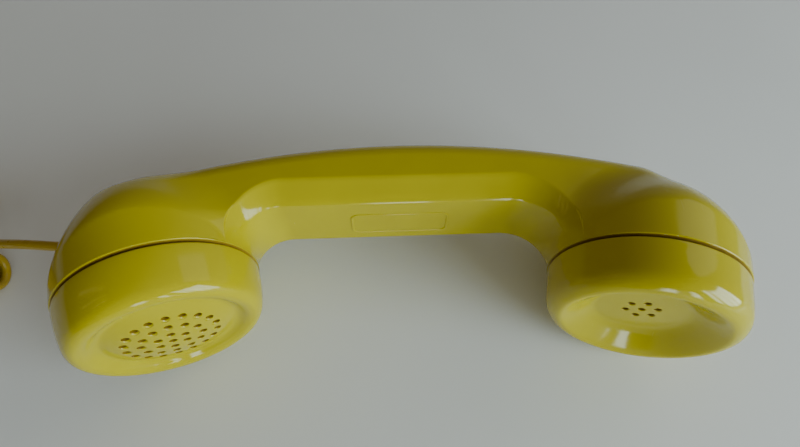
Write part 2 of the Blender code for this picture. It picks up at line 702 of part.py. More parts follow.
def make_receiver_unit():
    unit = {"parent": receiver.empty}
    frame = [(24.6, 6.9), (24.6, 5.9), (22.9, 5.9), (22.9, -15.8), (20.9, -15.8), (20.9, -12.8),
             (19.0, -12.8), (19.0, -11.6), (22.3, -11.6), (22.3, 6.1), (21.4, 6.1), (21.4, 6.9)]
    finish(turned(frame, steps=36, **unit), "receiver_frame", "aluminium")
    board = disc(20.6, -15.5, -13.2, **unit)
    terminals = [(-TERMINAL_X, 0.0), (TERMINAL_X, 0.0)]
    combine(board, hole_cutter(terminals, 1.5, -17.0, -12.0, receiver.empty), "DIFFERENCE")
    finish(board, "terminal_board", "brown_phenolic")
    pole = [(21.9, -10.1), (21.9, -11.3), (5.2, -11.3), (5.2, -1.2), (7.0, -1.2), (7.0, -10.1)]
    finish(turned(pole, **unit), "inner_pole_piece", "steel")
    finish(disc(9.7, -9.8, -2.7, 7.3, **unit), "receiver_coil", "copper_wire")
    finish(disc(18.0, -9.8, -3.0, 10.2, **unit), "ring_magnet", "magnet_iron")
    finish(disc(18.6, -2.7, -1.5, 10.6, **unit), "outer_pole_ring", "steel")
    finish(disc(18.6, -1.2, 0.2, 13.9, **unit), "armature_seat", "brass")
    finish(disc(13.6, -0.9, -0.4, 7.2, **unit), "ring_armature", "steel")
    dome = [(0.0, 1.6), (3.5, 1.1), (6.9, -0.4), (6.9, -0.8), (3.4, 0.7), (0.0, 1.2)]
    finish(turned(dome, closed=False, **unit), "receiver_diaphragm", "brown_phenolic")
    grid = disc(21.9, 3.2, 4.2, **unit)
    combine(grid, hole_cutter(hole_places([(8.0, 6)], 0), 1.6, 2.0, 6.0, receiver.empty), "DIFFERENCE")
    finish(grid, "receiver_front_grid", "aluminium")
    finish(disc(21.0, 4.6, 4.9, **unit), "acoustic_cloth", "cotton")
    for number, (x, _) in enumerate(terminals, 1):
        head = [(0.0, -18.2), (2.2, -18.2), (2.2, -16.6), (1.2, -16.6), (1.2, -13.6), (0.0, -13.6)]
        screw = turned(head, steps=16, closed=False, **unit)
        screw.location.x = x * MM
        finish(screw, f"terminal_screw_{number}", "steel")
        lug = spade_lug(receiver.empty)
        lug.location = (x * MM, 0.0, -16.05 * MM)
        finish(lug, f"receiver_lug_{number}", "steel")
    varistor = rod(1.6, (0.0, -4.0, -17.6), (0.0, 4.0, -17.6), 16, parent=receiver.empty)
    finish(varistor, "click_suppressor", "black_moulding")


# ---- wires inside the handle --------------------------------------------------------------
WIRE_RADIUS = 0.7
STAY_START = CORD_EXIT[0] + 10.2
STAY_END = STAY_START + 4.6


def make_inner_wires():
    stay = [(0.0, STAY_END), (2.4, STAY_END), (3.2, STAY_END - 0.8), (3.2, STAY_START),
            (0.0, STAY_START)]
    body = turned([(r, z - STAY_START) for r, z in stay], steps=20, closed=False)
    along_x = Matrix.Rotation(math.pi / 2, 4, "Y")
    body.data.transform(Matrix.Translation(
        (STAY_START * MM, CORD_EXIT[1] * MM, CENTRE_HEIGHT * MM)) @ along_x)
    body.parent = root
    finish(body, "cord_stay", "steel")
    start_x = STAY_END + GAP
    cup_runs = (("red", -1.0, 1.0), ("black", 1.0, -1.0))
    for colour, side, lift in cup_runs:
        points = [
            (start_x, CORD_EXIT[1] - 1.0, CENTRE_HEIGHT + lift),
            (start_x + 4.0, CORD_EXIT[1] - 1.4, CENTRE_HEIGHT + lift * 1.2),
            transmitter.point(-3.5 + side * 2.2, 5.0, -20.5 + side),
            transmitter.point(side * 1.3, 10.5, -17.5 + side),
            transmitter.point(side * 1.3, 12.0, -14.6),
            transmitter.point(side * 1.9, 12.3, -12.6),
            transmitter.point(side * 6.0, 13.6, -11.4),
            transmitter.point(side * 13.0, 14.6, -11.4),
            transmitter.point(side * 18.2, 11.6, -11.8),
            transmitter.point(side * SCREW_X, 7.0 + GAP, -12.0),
        ]
        wire = tube(smooth_path(points, 3.2), WIRE_RADIUS, 1)
        finish(wire, "conductor_" + colour, "wire_" + colour)
    for number, side in ((1, -1.0), (2, 1.0)):
        middle = tunnel_route(-3.6, side * 1.4)[1:-1]
        points = [
            (start_x, CORD_EXIT[1] + 0.9, CENTRE_HEIGHT + side),
            (start_x + 5.0, CORD_EXIT[1] + 2.2, CENTRE_HEIGHT - 1.0 + side * 1.2),
            transmitter.point(0.0, -3.4, -22.0 - side),
            *middle,
            receiver.point(-6.0, -2.0, -21.5 - side),
            receiver.point(side * TERMINAL_X * 0.7, 3.0, -21.0),
            receiver.point(side * TERMINAL_X, 7.0, -18.6),
            receiver.point(side * TERMINAL_X, 8.4, -16.4),
        ]
        wire = tube(smooth_path(points, 7.0), WIRE_RADIUS, 1)
        finish(wire, f"conductor_white_{number}", "wire_white")
    plug = rod(3.6, (-13.0, 38.0, CENTRE_HEIGHT + 2.4), (13.0, 38.0, CENTRE_HEIGHT + 2.4), 16)
    finish(plug, "cotton_damping_plug", "cotton")


# ---- the cord -----------------------------------------------------------------------------
COIL_Z = COIL_OUTER_RADIUS + 0.05
COIL_Y = 21.9
COIL_END_X = -148.4
COIL_BEND_X = -255.0
COIL_BEND_RADIUS = 14.0
COIL_TAIL_X = -169.4
FLOOR_CORD_Z = CORD_RADIUS + 0.05
RELIEF_START = (-219.0, 66.2)
RELIEF_Z = 3.3
TAIL_Y = COIL_Y + 2.0 * COIL_BEND_RADIUS
LEAD_ROUTE = [
    (STAY_START - GAP, CORD_EXIT[1], CENTRE_HEIGHT),
    (CORD_EXIT[0], CORD_EXIT[1], CENTRE_HEIGHT),
    (-115.0, 19.5, 29.3),
    (-123.0, 20.8, 28.3),
    (-131.0, 22.4, 26.5),
    (-138.5, 24.3, 23.6),
    (-144.0, 25.9, 20.9),
    (-147.6, 25.6, 18.3),
    (-148.9, 24.4, 16.8),
]
TAIL_ROUTE = [
    (-171.6, 59.6, 8.2),
    (-172.8, 62.4, 5.3),
    (-175.6, 65.0, 3.0),
    (-180.2, 66.5, 1.9),
    (-187.0, 66.9, FLOOR_CORD_Z),
    (-197.0, 66.5, FLOOR_CORD_Z),
    (-207.5, 66.2, 2.4),
    (RELIEF_START[0] + GAP, RELIEF_START[1], RELIEF_Z),
]


def coil_route():
    """The middle line of the curly stretch: two straight legs and the bend between them."""
    points = [(COIL_END_X, COIL_Y, COIL_Z), (-200.0, COIL_Y, COIL_Z), (COIL_BEND_X, COIL_Y, COIL_Z)]
    for i in range(1, 6):
        angle = math.pi * i / 6
        points.append((COIL_BEND_X - COIL_BEND_RADIUS * math.sin(angle),
                       COIL_Y + COIL_BEND_RADIUS * (1.0 - math.cos(angle)), COIL_Z))
    points += [(COIL_BEND_X, TAIL_Y, COIL_Z), (-210.0, TAIL_Y, COIL_Z), (COIL_TAIL_X, TAIL_Y, COIL_Z)]
    return points


def make_cord():
    lead = tube(smooth_path(LEAD_ROUTE, 6.0), CORD_RADIUS)
    finish(lead, "cord_lead", "yellow_vinyl")
    coil = tube(smooth_path(coil_route(), 9.0), COIL_OUTER_RADIUS, 4)
    finish(coil, "cord_coil", "yellow_vinyl")
    tail = tube(smooth_path(TAIL_ROUTE, 6.0), CORD_RADIUS)
    finish(tail, "cord_tail", "yellow_vinyl")
    x, y = RELIEF_START
    relief = [(0.0, 0.0), (2.3, 0.0), (2.7, 1.0), (3.1, 13.0), (3.1, 16.0), (2.6, 16.6), (0.0, 16.6)]
    body = turned(relief, steps=16, closed=False)
    body.data.transform(Matrix.Translation((x * MM, y * MM, RELIEF_Z * MM))
                        @ Matrix.Rotation(-math.pi / 2, 4, "Y"))
    body.parent = root
    finish(body, "cord_relief", "black_moulding")
    fan = (("red", -9.0, 0.8), ("green", -3.0, -0.8), ("black", 3.0, -0.8), ("white", 9.0, 0.8))
    for colour, spread, lift in fan:
        start = (x - 16.6 - GAP, y + math.copysign(0.8, spread), RELIEF_Z + lift)
        end = (x - 42.0 + abs(spread) * 0.4, y + spread, WIRE_RADIUS + 0.1)
        points = [start, (x - 23.0, y + spread * 0.4, 2.4 + lift),
                  (x - 31.0, y + spread * 0.8, 1.1), end]
        finish(tube(smooth_path(points, 5.0), WIRE_RADIUS, 1), "tail_wire_" + colour, "wire_" + colour)
        lug = spade_lug(root)
        lug.location = ((end[0] - GAP - 7.0) * MM, end[1] * MM, 0.45 * MM)
        lug.rotation_euler.z = math.radians(-90.0)
        finish(lug, "tail_lug_" + colour, "steel")


make_handle()
make_caps()
make_transmitter_unit()
make_transmitter_cup()
make_receiver_unit()
make_inner_wires()
make_cord()
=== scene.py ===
"""The looks of a telephone handset and its cord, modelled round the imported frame.

Shapes are drawn in millimetres from a point midway between the centres of the two seams: X runs
towards the receiver, Y out of the back of the grip, and Z up from the handset's middle plane.
"""
import functools
import json
import math

import bmesh
import bpy
import numpy as np
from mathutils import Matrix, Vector


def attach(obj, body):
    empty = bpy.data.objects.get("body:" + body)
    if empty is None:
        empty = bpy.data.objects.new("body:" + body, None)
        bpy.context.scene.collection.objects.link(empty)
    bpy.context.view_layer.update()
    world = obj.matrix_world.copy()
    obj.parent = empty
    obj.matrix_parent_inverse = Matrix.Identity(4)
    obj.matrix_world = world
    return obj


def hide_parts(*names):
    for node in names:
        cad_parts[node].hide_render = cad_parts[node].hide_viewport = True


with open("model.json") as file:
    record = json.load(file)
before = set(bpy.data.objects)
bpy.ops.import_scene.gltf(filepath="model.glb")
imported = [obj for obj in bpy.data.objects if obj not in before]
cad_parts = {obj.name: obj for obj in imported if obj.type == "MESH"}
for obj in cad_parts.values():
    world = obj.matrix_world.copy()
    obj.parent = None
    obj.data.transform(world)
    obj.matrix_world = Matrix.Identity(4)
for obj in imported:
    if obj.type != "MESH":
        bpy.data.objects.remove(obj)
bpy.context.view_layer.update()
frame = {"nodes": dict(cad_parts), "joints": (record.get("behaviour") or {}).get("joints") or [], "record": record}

MM = 0.001
CENTRE_HEIGHT = 29.45
HEAD_RADIUS = 29.6
SEAM_HALF_GAP = 0.45
GRIP_HALF_WIDTH = 16.5
INNER_FLAT_Y = 25.45
INNER_FLAT_HALF_WIDTH = 11.0
BEVEL_SLOPE = 1.25
BEVEL_SWELL = 0.55            # how much less the bevel slopes where it leaves the flat
BEVEL_WIDTH = 5.5
BACK_APEX_Y = 50.1
BACK_ARC_RADIUS = 275.0
BACK_CROWN_RADIUS = 90.0
BACK_EDGE_RADIUS = 7.5
CREASE_RADIUS = 0.8
BLEND_WIDTH = 8.0
BLEND_RUN = 12.0              # behind a seam, over which the blend opens
ROUND_LIMIT = 280.0           # the square of the height up to which an arch follows the head
DOME_POWER = 1.48
END_STRAIGHT = 3.0
FLANK_STRAIGHT = 13.0
NECK_RADIUS = 26.4
NECK_HEIGHT = 6.5
THREAD_PITCH = 2.5
THREAD_START = 0.85
NECK_THREAD_TIP = 27.3
NECK_THREAD_TURNS = 2.0
CAP_THREAD_ROOT = 28.0
CAP_THREAD_TIP = 26.8
CAP_THREAD_TURNS = 1.5
CORD_RADIUS = 1.6
CORD_HOLE_RADIUS = 1.95
CORD_HOLE_OUTSIDE = 8.0       # how far the hole's tool reaches out of the head
CORD_HOLE_INSIDE = 14.0
CORD_EXIT = (-107.9, 19.0)
TRANSMITTER_BORE = [(25.0, -15.3), (17.0, -15.3), (17.0, -27.0), (2.0, -27.0)]
RECEIVER_BORE = [(25.0, 4.0), (23.3, 4.0), (23.3, -16.1), (15.0, -16.1), (15.0, -25.0), (2.0, -25.0)]


# ---- frames ---------------------------------------------------------------------------------
JOINTS = {joint["name"]: joint for joint in frame["joints"]}


def seam_centre(name):
    return Vector(JOINTS[name]["pos_m"]) / MM


MIDDLE = (seam_centre("transmitter_cap_turn") + seam_centre("receiver_cap_turn")) / 2.0


def row(points):
    """Points of the drawing, in the row frame, in metres."""
    return (np.asarray(points, float) + np.array(MIDDLE)) * MM


class Head:
    """One end of the handset: where its seam is, and which way its cap faces."""

    def __init__(self, joint, height):
        centre = seam_centre(joint) - MIDDLE
        self.x = centre.x
        self.y = centre.y
        self.side = math.copysign(1.0, centre.x)
        axis = JOINTS[joint]["axis"]
        self.out = (axis[0], axis[1])
        self.across = (-axis[1], axis[0])
        self.height = height
        inward = (-self.side * self.across[0], -self.side * self.across[1])
        self.arch_radius = (INNER_FLAT_Y - self.y - inward[1] * HEAD_RADIUS) / (1.0 + inward[1])
        reach = HEAD_RADIUS + self.arch_radius
        self.pivot = (self.x + inward[0] * reach, self.y + inward[1] * reach)
        self.sweep = math.pi / 2 + self.side * -math.atan2(axis[0], -axis[1])

    def points(self, across, up, out):
        """Points given in this head's own frame, in the drawing."""
        across, up, out = np.broadcast_arrays(across, up, out)
        x = self.x + across * self.across[0] + out * self.out[0]
        y = self.y + across * self.across[1] + out * self.out[1]
        return np.stack([x, y, up], -1)


transmitter = Head("transmitter_cap_turn", 47.0)
receiver = Head("receiver_cap_turn", 38.5)


# ---- the handle's outer surface ---------------------------------------------------------------
def smoothstep(value):
    """From 0 to 1 with level ends."""
    t = np.clip(value, 0.0, 1.0)
    return t * t * (3.0 - 2.0 * t)


def round_both(a, b, radius):
    """Inside both a and b, with their common edge rounded."""
    corner = np.hypot(np.maximum(a + radius, 0.0), np.maximum(b + radius, 0.0))
    return corner + np.minimum(np.maximum(a + radius, b + radius), 0.0) - radius


def soft_either(a, b, width):
    """Inside a or b, with their valley filled."""
    near = np.maximum(width - np.abs(a - b), 0.0)
    return np.minimum(a, b) - near * near / (4.0 * np.maximum(width, 1e-6))


def bevel_depth(z):
    """How far the bevel lies behind the inner flat."""
    beyond = np.maximum(np.abs(z) - INNER_FLAT_HALF_WIDTH, 0.0)
    share = np.minimum(beyond / BEVEL_WIDTH, 1.0)
    return BEVEL_SLOPE * (beyond - BEVEL_SWELL * BEVEL_WIDTH * share * (1.0 - share) ** 2)


def inner_depth(x, y, z):
    """How far a point is outside the inner face and its arches, and how near it is to a seam."""
    value = INNER_FLAT_Y + bevel_depth(z) - y
    near_seam = np.zeros_like(value)
    round_depth = HEAD_RADIUS - np.sqrt(HEAD_RADIUS**2 - np.minimum(z * z, ROUND_LIMIT))
    for head in (transmitter, receiver):
        dx = head.side * (x - head.pivot[0])
        dy = y - head.pivot[1]
        turned = smoothstep(np.arctan2(np.maximum(dx, 0.0), dy) / head.sweep)
        depth = (1.0 - turned) * bevel_depth(z) + turned * round_depth
        value = np.where(dx > 0.0, head.arch_radius + depth - np.hypot(dx, dy), value)
        near_seam = np.where(dx > 0.0, turned, near_seam)
    return value, near_seam


def handle_field(x, y, z):
    """Negative inside the handle, in millimetres."""
    side = np.abs(z) - GRIP_HALF_WIDTH
    back = y - BACK_APEX_Y + x * x / (2.0 * BACK_ARC_RADIUS) + z * z / (2.0 * BACK_CROWN_RADIUS)
    grip = round_both(side, back, BACK_EDGE_RADIUS)
    value = grip
    for head in (transmitter, receiver):
        dx = x - head.x
        dy = y - head.y
        behind = -(dx * head.out[0] + dy * head.out[1])
        across = dx * head.across[0] + dy * head.across[1]
        ended = round_both(grip, head.side * across, BACK_EDGE_RADIUS)
        radius = np.hypot(across, z)
        flank = (z / np.maximum(radius, 1e-6)) ** 2
        straight = END_STRAIGHT + (FLANK_STRAIGHT - END_STRAIGHT) * flank
        rise = np.maximum(behind - straight, 0.0) / (head.height - straight)
        size = (radius / HEAD_RADIUS) ** DOME_POWER + rise**DOME_POWER
        dome = (size ** (1.0 / DOME_POWER) - 1.0) * HEAD_RADIUS
        dome = round_both(dome, back, BACK_EDGE_RADIUS)
        width = BLEND_WIDTH * smoothstep(behind / BLEND_RUN)
        value = np.where(head.side * x > 0.0, soft_either(ended, dome, width), value)
    inner, near_seam = inner_depth(x, y, z)
    return round_both(value, inner, CREASE_RADIUS * (1.0 - near_seam) + 0.02)


def field_normals(points):
    """Unit normals of the handle's outer surface at points of the drawing."""
    step = 0.04
    slopes = []
    for axis in range(3):
        shift = np.zeros(3)
        shift[axis] = step
        ahead = handle_field(*(points + shift).T)
        slopes.append(ahead - handle_field(*(points - shift).T))
    normals = np.stack(slopes, -1)
    return normals / np.maximum(np.linalg.norm(normals, axis=1, keepdims=True), 1e-12)


# Angles round a ring from the inner face to the back, on the grip and at a seam, and how many
# steps lead up to each. The pairs lie on both sides of the flat's edge, the crease and the flank.
RING_MARKS = ((0.0, 0.0, 0), (41.0, 20.6, 16), (44.0, 23.0, 8), (70.4, 31.2, 24), (76.0, 36.8, 20),
              (95.0, 85.0, 50), (105.0, 95.0, 8), (180.0, 180.0, 34))
ARCH_RINGS = 84
GRIP_RINGS = 30
GRIP_MIDDLE = 37.5
SEAM_ROUNDING = 0.35
RING_REACH = 45.0             # how far from its middle a ring's surface is looked for
HALVINGS = 44                 # of that reach, until the surface is found
SEAM_STEP = math.radians(1.9)  # from a seam to the first ring that follows the surface


def ring_angles(turned):
    """A full turn of angles."""
    marks = [math.radians(g + (s - g) * turned) for g, s, _ in RING_MARKS]
    half = []
    for start, end, (_, _, count) in zip(marks, marks[1:], RING_MARKS[1:]):
        half += [start + (end - start) * i / count for i in range(count)]
    return np.array(half + [math.pi] + [2.0 * math.pi - a for a in reversed(half[1:])])


def ring_points(origin, direction, middle, turned):
    """One ring of the handle's surface, in the plane through origin that holds Z."""
    angles = ring_angles(turned)
    dx = -np.cos(angles) * direction[0]
    dy = -np.cos(angles) * direction[1]
    dz = np.sin(angles)
    cx = origin[0] + direction[0] * middle
    cy = origin[1] + direction[1] * middle
    low = np.zeros_like(angles)
    high = np.full_like(angles, RING_REACH)
    for _ in range(HALVINGS):
        mid = (low + high) / 2.0
        inside = handle_field(cx + dx * mid, cy + dy * mid, dz * mid) < 0.0
        low = np.where(inside, mid, low)
        high = np.where(inside, high, mid)
    return np.stack([cx + dx * low, cy + dy * low, np.maximum(dz * low, -CENTRE_HEIGHT)], 1)


def head_ring(head, radius, out):
    """A circle about a head's axis, with the same number of points as the handle's rings."""
    angles = ring_angles(1.0)
    up = np.maximum(radius * np.sin(angles), -CENTRE_HEIGHT)
    return head.points(-head.side * radius * np.cos(angles), up, out)


def head_inside(head):
    """(radius, height) of the rings from a seam's edge over the neck and down into the bore."""
    edge = HEAD_RADIUS
    gap = -SEAM_HALF_GAP
    lip = SEAM_ROUNDING
    rings = [(edge - lip * (1.0 - math.cos(a)), gap - lip * (1.0 - math.sin(a)))
             for a in np.radians((0.0, 30.0, 60.0, 90.0))]
    rings += [(NECK_RADIUS + 0.4, gap), (NECK_RADIUS, gap + 0.4), (NECK_RADIUS, NECK_HEIGHT - 0.4),
              (NECK_RADIUS - 0.4, NECK_HEIGHT), (25.3, NECK_HEIGHT), (25.0, NECK_HEIGHT - 0.3)]
    return rings + (TRANSMITTER_BORE if head is transmitter else RECEIVER_BORE)


def handle_rings():
    """Rings from the depth of one bore, over the handle's surface, to the depth of the other."""
    ends = []
    for head in (transmitter, receiver):
        inside = [head_ring(head, r, h) for r, h in reversed(head_inside(head))]
        fan = []
        for i in range(1, ARCH_RINGS):
            angle = head.sweep * (1.0 - i / ARCH_RINGS) if i > 1 else head.sweep - SEAM_STEP
            turned = float(smoothstep(angle / head.sweep))
            middle = (GRIP_MIDDLE - head.pivot[1]) * (1.0 - turned)
            middle += (head.arch_radius + HEAD_RADIUS) * turned
            direction = (head.side * math.sin(angle), math.cos(angle))
            fan.append(ring_points(head.pivot, direction, middle, turned))
        ends.append(inside + fan)
    grip = []
    for i in range(GRIP_RINGS + 1):
        x = transmitter.pivot[0] + (receiver.pivot[0] - transmitter.pivot[0]) * i / GRIP_RINGS
        grip.append(ring_points((x, 0.0), (0.0, 1.0), GRIP_MIDDLE, 0.0))
    return ends[0] + grip + ends[1][::-1]


# ---- meshes -----------------------------------------------------------------------------------
def add(mesh, body, slot, replaced=(), recess=None, in_recess=None):
    """A finished piece that rides on a body; its faces in recesses may take a second material, painted darker as
    shade.
    """
    made = bpy.data.objects.new(mesh.name, mesh)
    bpy.context.scene.collection.objects.link(made)
    mesh.materials.clear()
    mesh.materials.append(MATERIALS[slot])
    if recess:
        mesh.materials.append(recess)
        mesh.polygons.foreach_set("material_index", in_recess.astype(np.int32))
    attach(made, body)
    if replaced:
        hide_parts(*replaced)
    return made


def mesh_of(name, points, faces):
    mesh = bpy.data.meshes.new(name)
    mesh.from_pydata([tuple(p) for p in row(points)], [], faces)
    bm = bmesh.new()
    bm.from_mesh(mesh)
    bmesh.ops.recalc_face_normals(bm, faces=bm.faces)
    bm.to_mesh(mesh)
    bm.free()
    return mesh


def loft(name, rings, closed=False):
    """A body through rings of equal point counts: end to end, or back to the first one."""
    size = len(rings[0])
    faces = []
    count = len(rings) if closed else len(rings) - 1
    for k in range(count):
        a = k * size
        b = (k + 1) % len(rings) * size
        faces += [(a + i, a + (i + 1) % size, b + (i + 1) % size, b + i) for i in range(size)]
    if not closed:
        faces.append(tuple(range(size))[::-1])
        faces.append(tuple(range((len(rings) - 1) * size, len(rings) * size)))
    return mesh_of(name, np.concatenate(rings), faces)


def smooth(mesh, angle=30.0):
    mesh.shade_smooth()
    mesh.set_sharp_from_angle(angle=math.radians(angle))
    return mesh


def set_normals(mesh, corner_normals):
    """Gives each face corner its surface's true normal; a zero leaves the corner as it is."""
    smooth(mesh)
    mesh.normals_split_custom_set([tuple(n) for n in corner_normals])


def corner_data(mesh):
    """Each face corner's place in the drawing, and the normal of its face."""
    count = len(mesh.loops)
    vertex = np.empty(count, np.int64)
    mesh.loops.foreach_get("vertex_index", vertex)
    places = np.empty(len(mesh.vertices) * 3)
    mesh.vertices.foreach_get("co", places)
    places = places.reshape(-1, 3) / MM - np.array(MIDDLE)
    normals = np.empty(len(mesh.polygons) * 3)
    mesh.polygons.foreach_get("normal", normals)
    totals = np.empty(len(mesh.polygons), np.int64)
    mesh.polygons.foreach_get("loop_total", totals)
    face = np.repeat(np.arange(len(mesh.polygons)), totals)
    return places[vertex], normals.reshape(-1, 3)[face]


def face_centres(mesh):
    """Each face's centre in the drawing."""
    centres = np.empty(len(mesh.polygons) * 3)
    mesh.polygons.foreach_get("center", centres)
    return centres.reshape(-1, 3) / MM - np.array(MIDDLE)


def face_places(mesh, head):
    """Each face centre's place in a head's own frame: across, up and out."""
    centres = face_centres(mesh)
    dx = centres[:, 0] - head.x
    dy = centres[:, 1] - head.y
    across = dx * head.across[0] + dy * head.across[1]
    return across, centres[:, 2], dx * head.out[0] + dy * head.out[1]


def cut_out(mesh, tool):
    """The mesh with the tool's shape taken out of it."""
    scene = bpy.context.scene
    piece = bpy.data.objects.new("cut", mesh)
    cutter = bpy.data.objects.new("cutter", tool)
    for o in (piece, cutter):
        scene.collection.objects.link(o)
    step = piece.modifiers.new("cut", "BOOLEAN")
    step.operation = "DIFFERENCE"
    step.solver = "EXACT"
    step.object = cutter
    bpy.context.view_layer.update()
    made = bpy.data.meshes.new_from_object(piece.evaluated_get(bpy.context.evaluated_depsgraph_get()))
    name = mesh.name
    bpy.data.objects.remove(piece)
    bpy.data.objects.remove(cutter)
    bpy.data.meshes.remove(mesh)
    made.name = name
    return made


def rod_rings(start, end, profile, sides=32):
    """Rings of a turned piece about the line from start to end; profile is (radius, distance)."""
    start = Vector(start)
    along = (Vector(end) - start).normalized()
    u = along.orthogonal().normalized()
    v = along.cross(u)
    turn = [2.0 * math.pi * i / sides for i in range(sides)]
    rings = []
    for radius, distance in profile:
        centre = start + along * distance
        rings.append(np.array([centre + (u * math.cos(a) + v * math.sin(a)) * radius for a in turn]))
    return rings


def ridge(name, head, root, tip, start, turns, sides=72):
    """A right-hand thread ridge about a head's axis, from root radius to tip radius."""
    tooth = ((root, -0.55), (tip, -0.3), (tip, 0.3), (root, 0.55))
    rings = []
    count = round(sides * turns)
    for i in range(count + 1):
        angle = 2.0 * math.pi * i / sides
        fade = min(1.0, i / 8.0, (count - i) / 8.0)
        height = start + THREAD_PITCH * i / sides
        ring = []
        for radius, offset in tooth:
            depth = root + (radius - root) * max(fade, 0.05)
            ring.append(head.points(depth * math.cos(angle), depth * math.sin(angle),
                                    height + offset))
        rings.append(np.array(ring))
    return smooth(loft(name, rings))


# ---- materials --------------------------------------------------------------------------------
class Paint:
    """A small helper for building one node material."""

    def __init__(self, name):
        self.material = bpy.data.materials.new(name)
        self.material.use_nodes = True
        self.tree = self.material.node_tree
        self.shader = self.tree.nodes["Principled BSDF"]
        self.place = self.tree.nodes.new("ShaderNodeTexCoord").outputs["Object"]

    def node(self, kind, **values):
        made = self.tree.nodes.new("ShaderNode" + kind)
        for key, value in values.items():
            if hasattr(made, key):
                setattr(made, key, value)
            else:
                made.inputs[key.replace("_", " ")].default_value = value
        return made

    def link(self, source, target):
        self.tree.links.new(source, target)

    def stretched(self, scale):
        """Object coordinates scaled along each axis."""
        mapping = self.node("Mapping")
        mapping.inputs["Scale"].default_value = scale
        self.link(self.place, mapping.inputs["Vector"])
        return mapping.outputs["Vector"]

    def noise(self, scale, detail=3.0, roughness=0.5, vector=None, distortion=0.0):
        made = self.node("TexNoise", Scale=scale, Detail=detail, Roughness=roughness,
                         Distortion=distortion)
        self.link(vector or self.place, made.inputs["Vector"])
        return made.outputs["Fac"]

    def ranged(self, value, low, high, to_low, to_high):
        made = self.node("MapRange")
        made.clamp = True
        for name, number in (("From Min", low), ("From Max", high), ("To Min", to_low),
                             ("To Max", to_high)):
            made.inputs[name].default_value = number
        self.link(value, made.inputs["Value"])
        return made.outputs["Result"]

    def maths(self, operation, a, b):
        made = self.node("Math", operation=operation)
        for value, socket in ((a, made.inputs[0]), (b, made.inputs[1])):
            if isinstance(value, (int, float)):
                socket.default_value = value
            else:
                self.link(value, socket)
        return made.outputs[0]

    def mixed(self, factor, a, b):
        """A colour from a to b; each is a colour or a socket."""
        made = self.node("Mix", data_type="RGBA")
        self.link(factor, made.inputs["Factor"])
        for value, socket in ((a, made.inputs[6]), (b, made.inputs[7])):
            if isinstance(value, tuple):
                socket.default_value = (*value, 1.0)
            else:
                self.link(value, socket)
        return made.outputs[2]

    def bumped(self, *layers):
        """Bumps from (height, strength, distance in millimetres) layers, finest last."""
        normal = None
        for height, strength, distance in layers:
            made = self.node("Bump", Strength=strength, Distance=distance * MM)
            self.link(height, made.inputs["Height"])
            if normal is not None:
                self.link(normal, made.inputs["Normal"])
            normal = made.outputs["Normal"]
        self.link(normal, self.shader.inputs["Normal"])

    def colour(self, source):
        self.link(source, self.shader.inputs["Base Color"])

    def roughness(self, source):
        self.link(source, self.shader.inputs["Roughness"])

    def fixed(self, **values):
        for key, value in values.items():
            self.shader.inputs[key.replace("_", " ")].default_value = value


def specks(paint, scale, size):
    """A mask of sparse small spots."""
    cells = paint.node("TexVoronoi", Scale=scale)
    paint.link(paint.place, cells.inputs["Vector"])
    dots = paint.ranged(cells.outputs["Distance"], size * 0.5, size, 1.0, 0.0)
    patches = paint.ranged(paint.noise(scale * 0.23, 1.0), 0.57, 0.66, 0.0, 1.0)
    return paint.maths("MULTIPLY", dots, patches)


def scratches(paint, scale, turn):
    """A mask of fine straight marks, sparse and of mixed strength."""
    mapping = paint.node("Mapping")
    mapping.inputs["Rotation"].default_value = turn
    mapping.inputs["Scale"].default_value = (scale, scale * 0.06, scale * 0.06)
    paint.link(paint.place, mapping.inputs["Vector"])
    lines = paint.noise(1.0, 1.0, 0.4, mapping.outputs["Vector"], 0.3)
    sharp = paint.ranged(lines, 0.70, 0.76, 0.0, 1.0)
    return paint.maths("MULTIPLY", sharp, paint.ranged(paint.noise(60.0, 2.0), 0.45, 0.65, 0.0, 1.0))


YELLOW = (0.525, 0.435, 0.001)
YELLOW_DEEP = (0.485, 0.395, 0.001)


def glossy_moulding():
    """Old yellow plastic: even colour, a polish worn by hands, fine scratches and specks of dust."""
    paint = Paint("yellow_moulding")
    cloud = paint.ranged(paint.noise(28.0, 4.0, 0.55), 0.35, 0.65, 0.0, 1.0)
    base = paint.mixed(cloud, YELLOW, YELLOW_DEEP)
    dirt = specks(paint, 90.0, 0.045)
    base = paint.mixed(paint.maths("MULTIPLY", dirt, 0.75), base, (0.09, 0.055, 0.01))
    paint.colour(base)
    marks = paint.maths("MAXIMUM", scratches(paint, 2600.0, (0.3, 0.5, 1.1)),
                        scratches(paint, 3100.0, (1.2, 0.2, -0.5)))
    worn = paint.ranged(paint.noise(45.0, 5.0, 0.6), 0.38, 0.68, 0.085, 0.17)
    rough = paint.maths("ADD", worn, paint.maths("MULTIPLY", marks, 0.16))
    paint.roughness(paint.maths("ADD", rough, paint.maths("MULTIPLY", dirt, 0.3)))
    paint.bumped((paint.noise(95.0, 2.0, 0.4), 0.10, 0.25), (paint.noise(900.0, 2.0), 0.05, 0.04),
                 (marks, 0.12, -0.03))
    paint.fixed(IOR=1.5)
    return paint.material


@functools.cache
def shaded_recess_moulding():
    """The same plastic, painted dark brown as the shade that falls in recesses: seams, threads and holes."""
    paint = Paint("yellow_moulding_painted_shade")
    shade_tone = paint.ranged(paint.noise(300.0, 5.0, 0.6), 0.3, 0.7, 0.0, 1.0)
    # Two dark browns, mixed at random, are painted shade for the recesses.
    paint.colour(paint.mixed(shade_tone, (0.40, 0.25, 0.008), (0.27, 0.15, 0.006)))
    paint.roughness(paint.ranged(paint.noise(700.0, 3.0), 0.3, 0.7, 0.5, 0.75))
    paint.bumped((paint.noise(900.0, 3.0), 0.3, 0.05))
    return paint.material


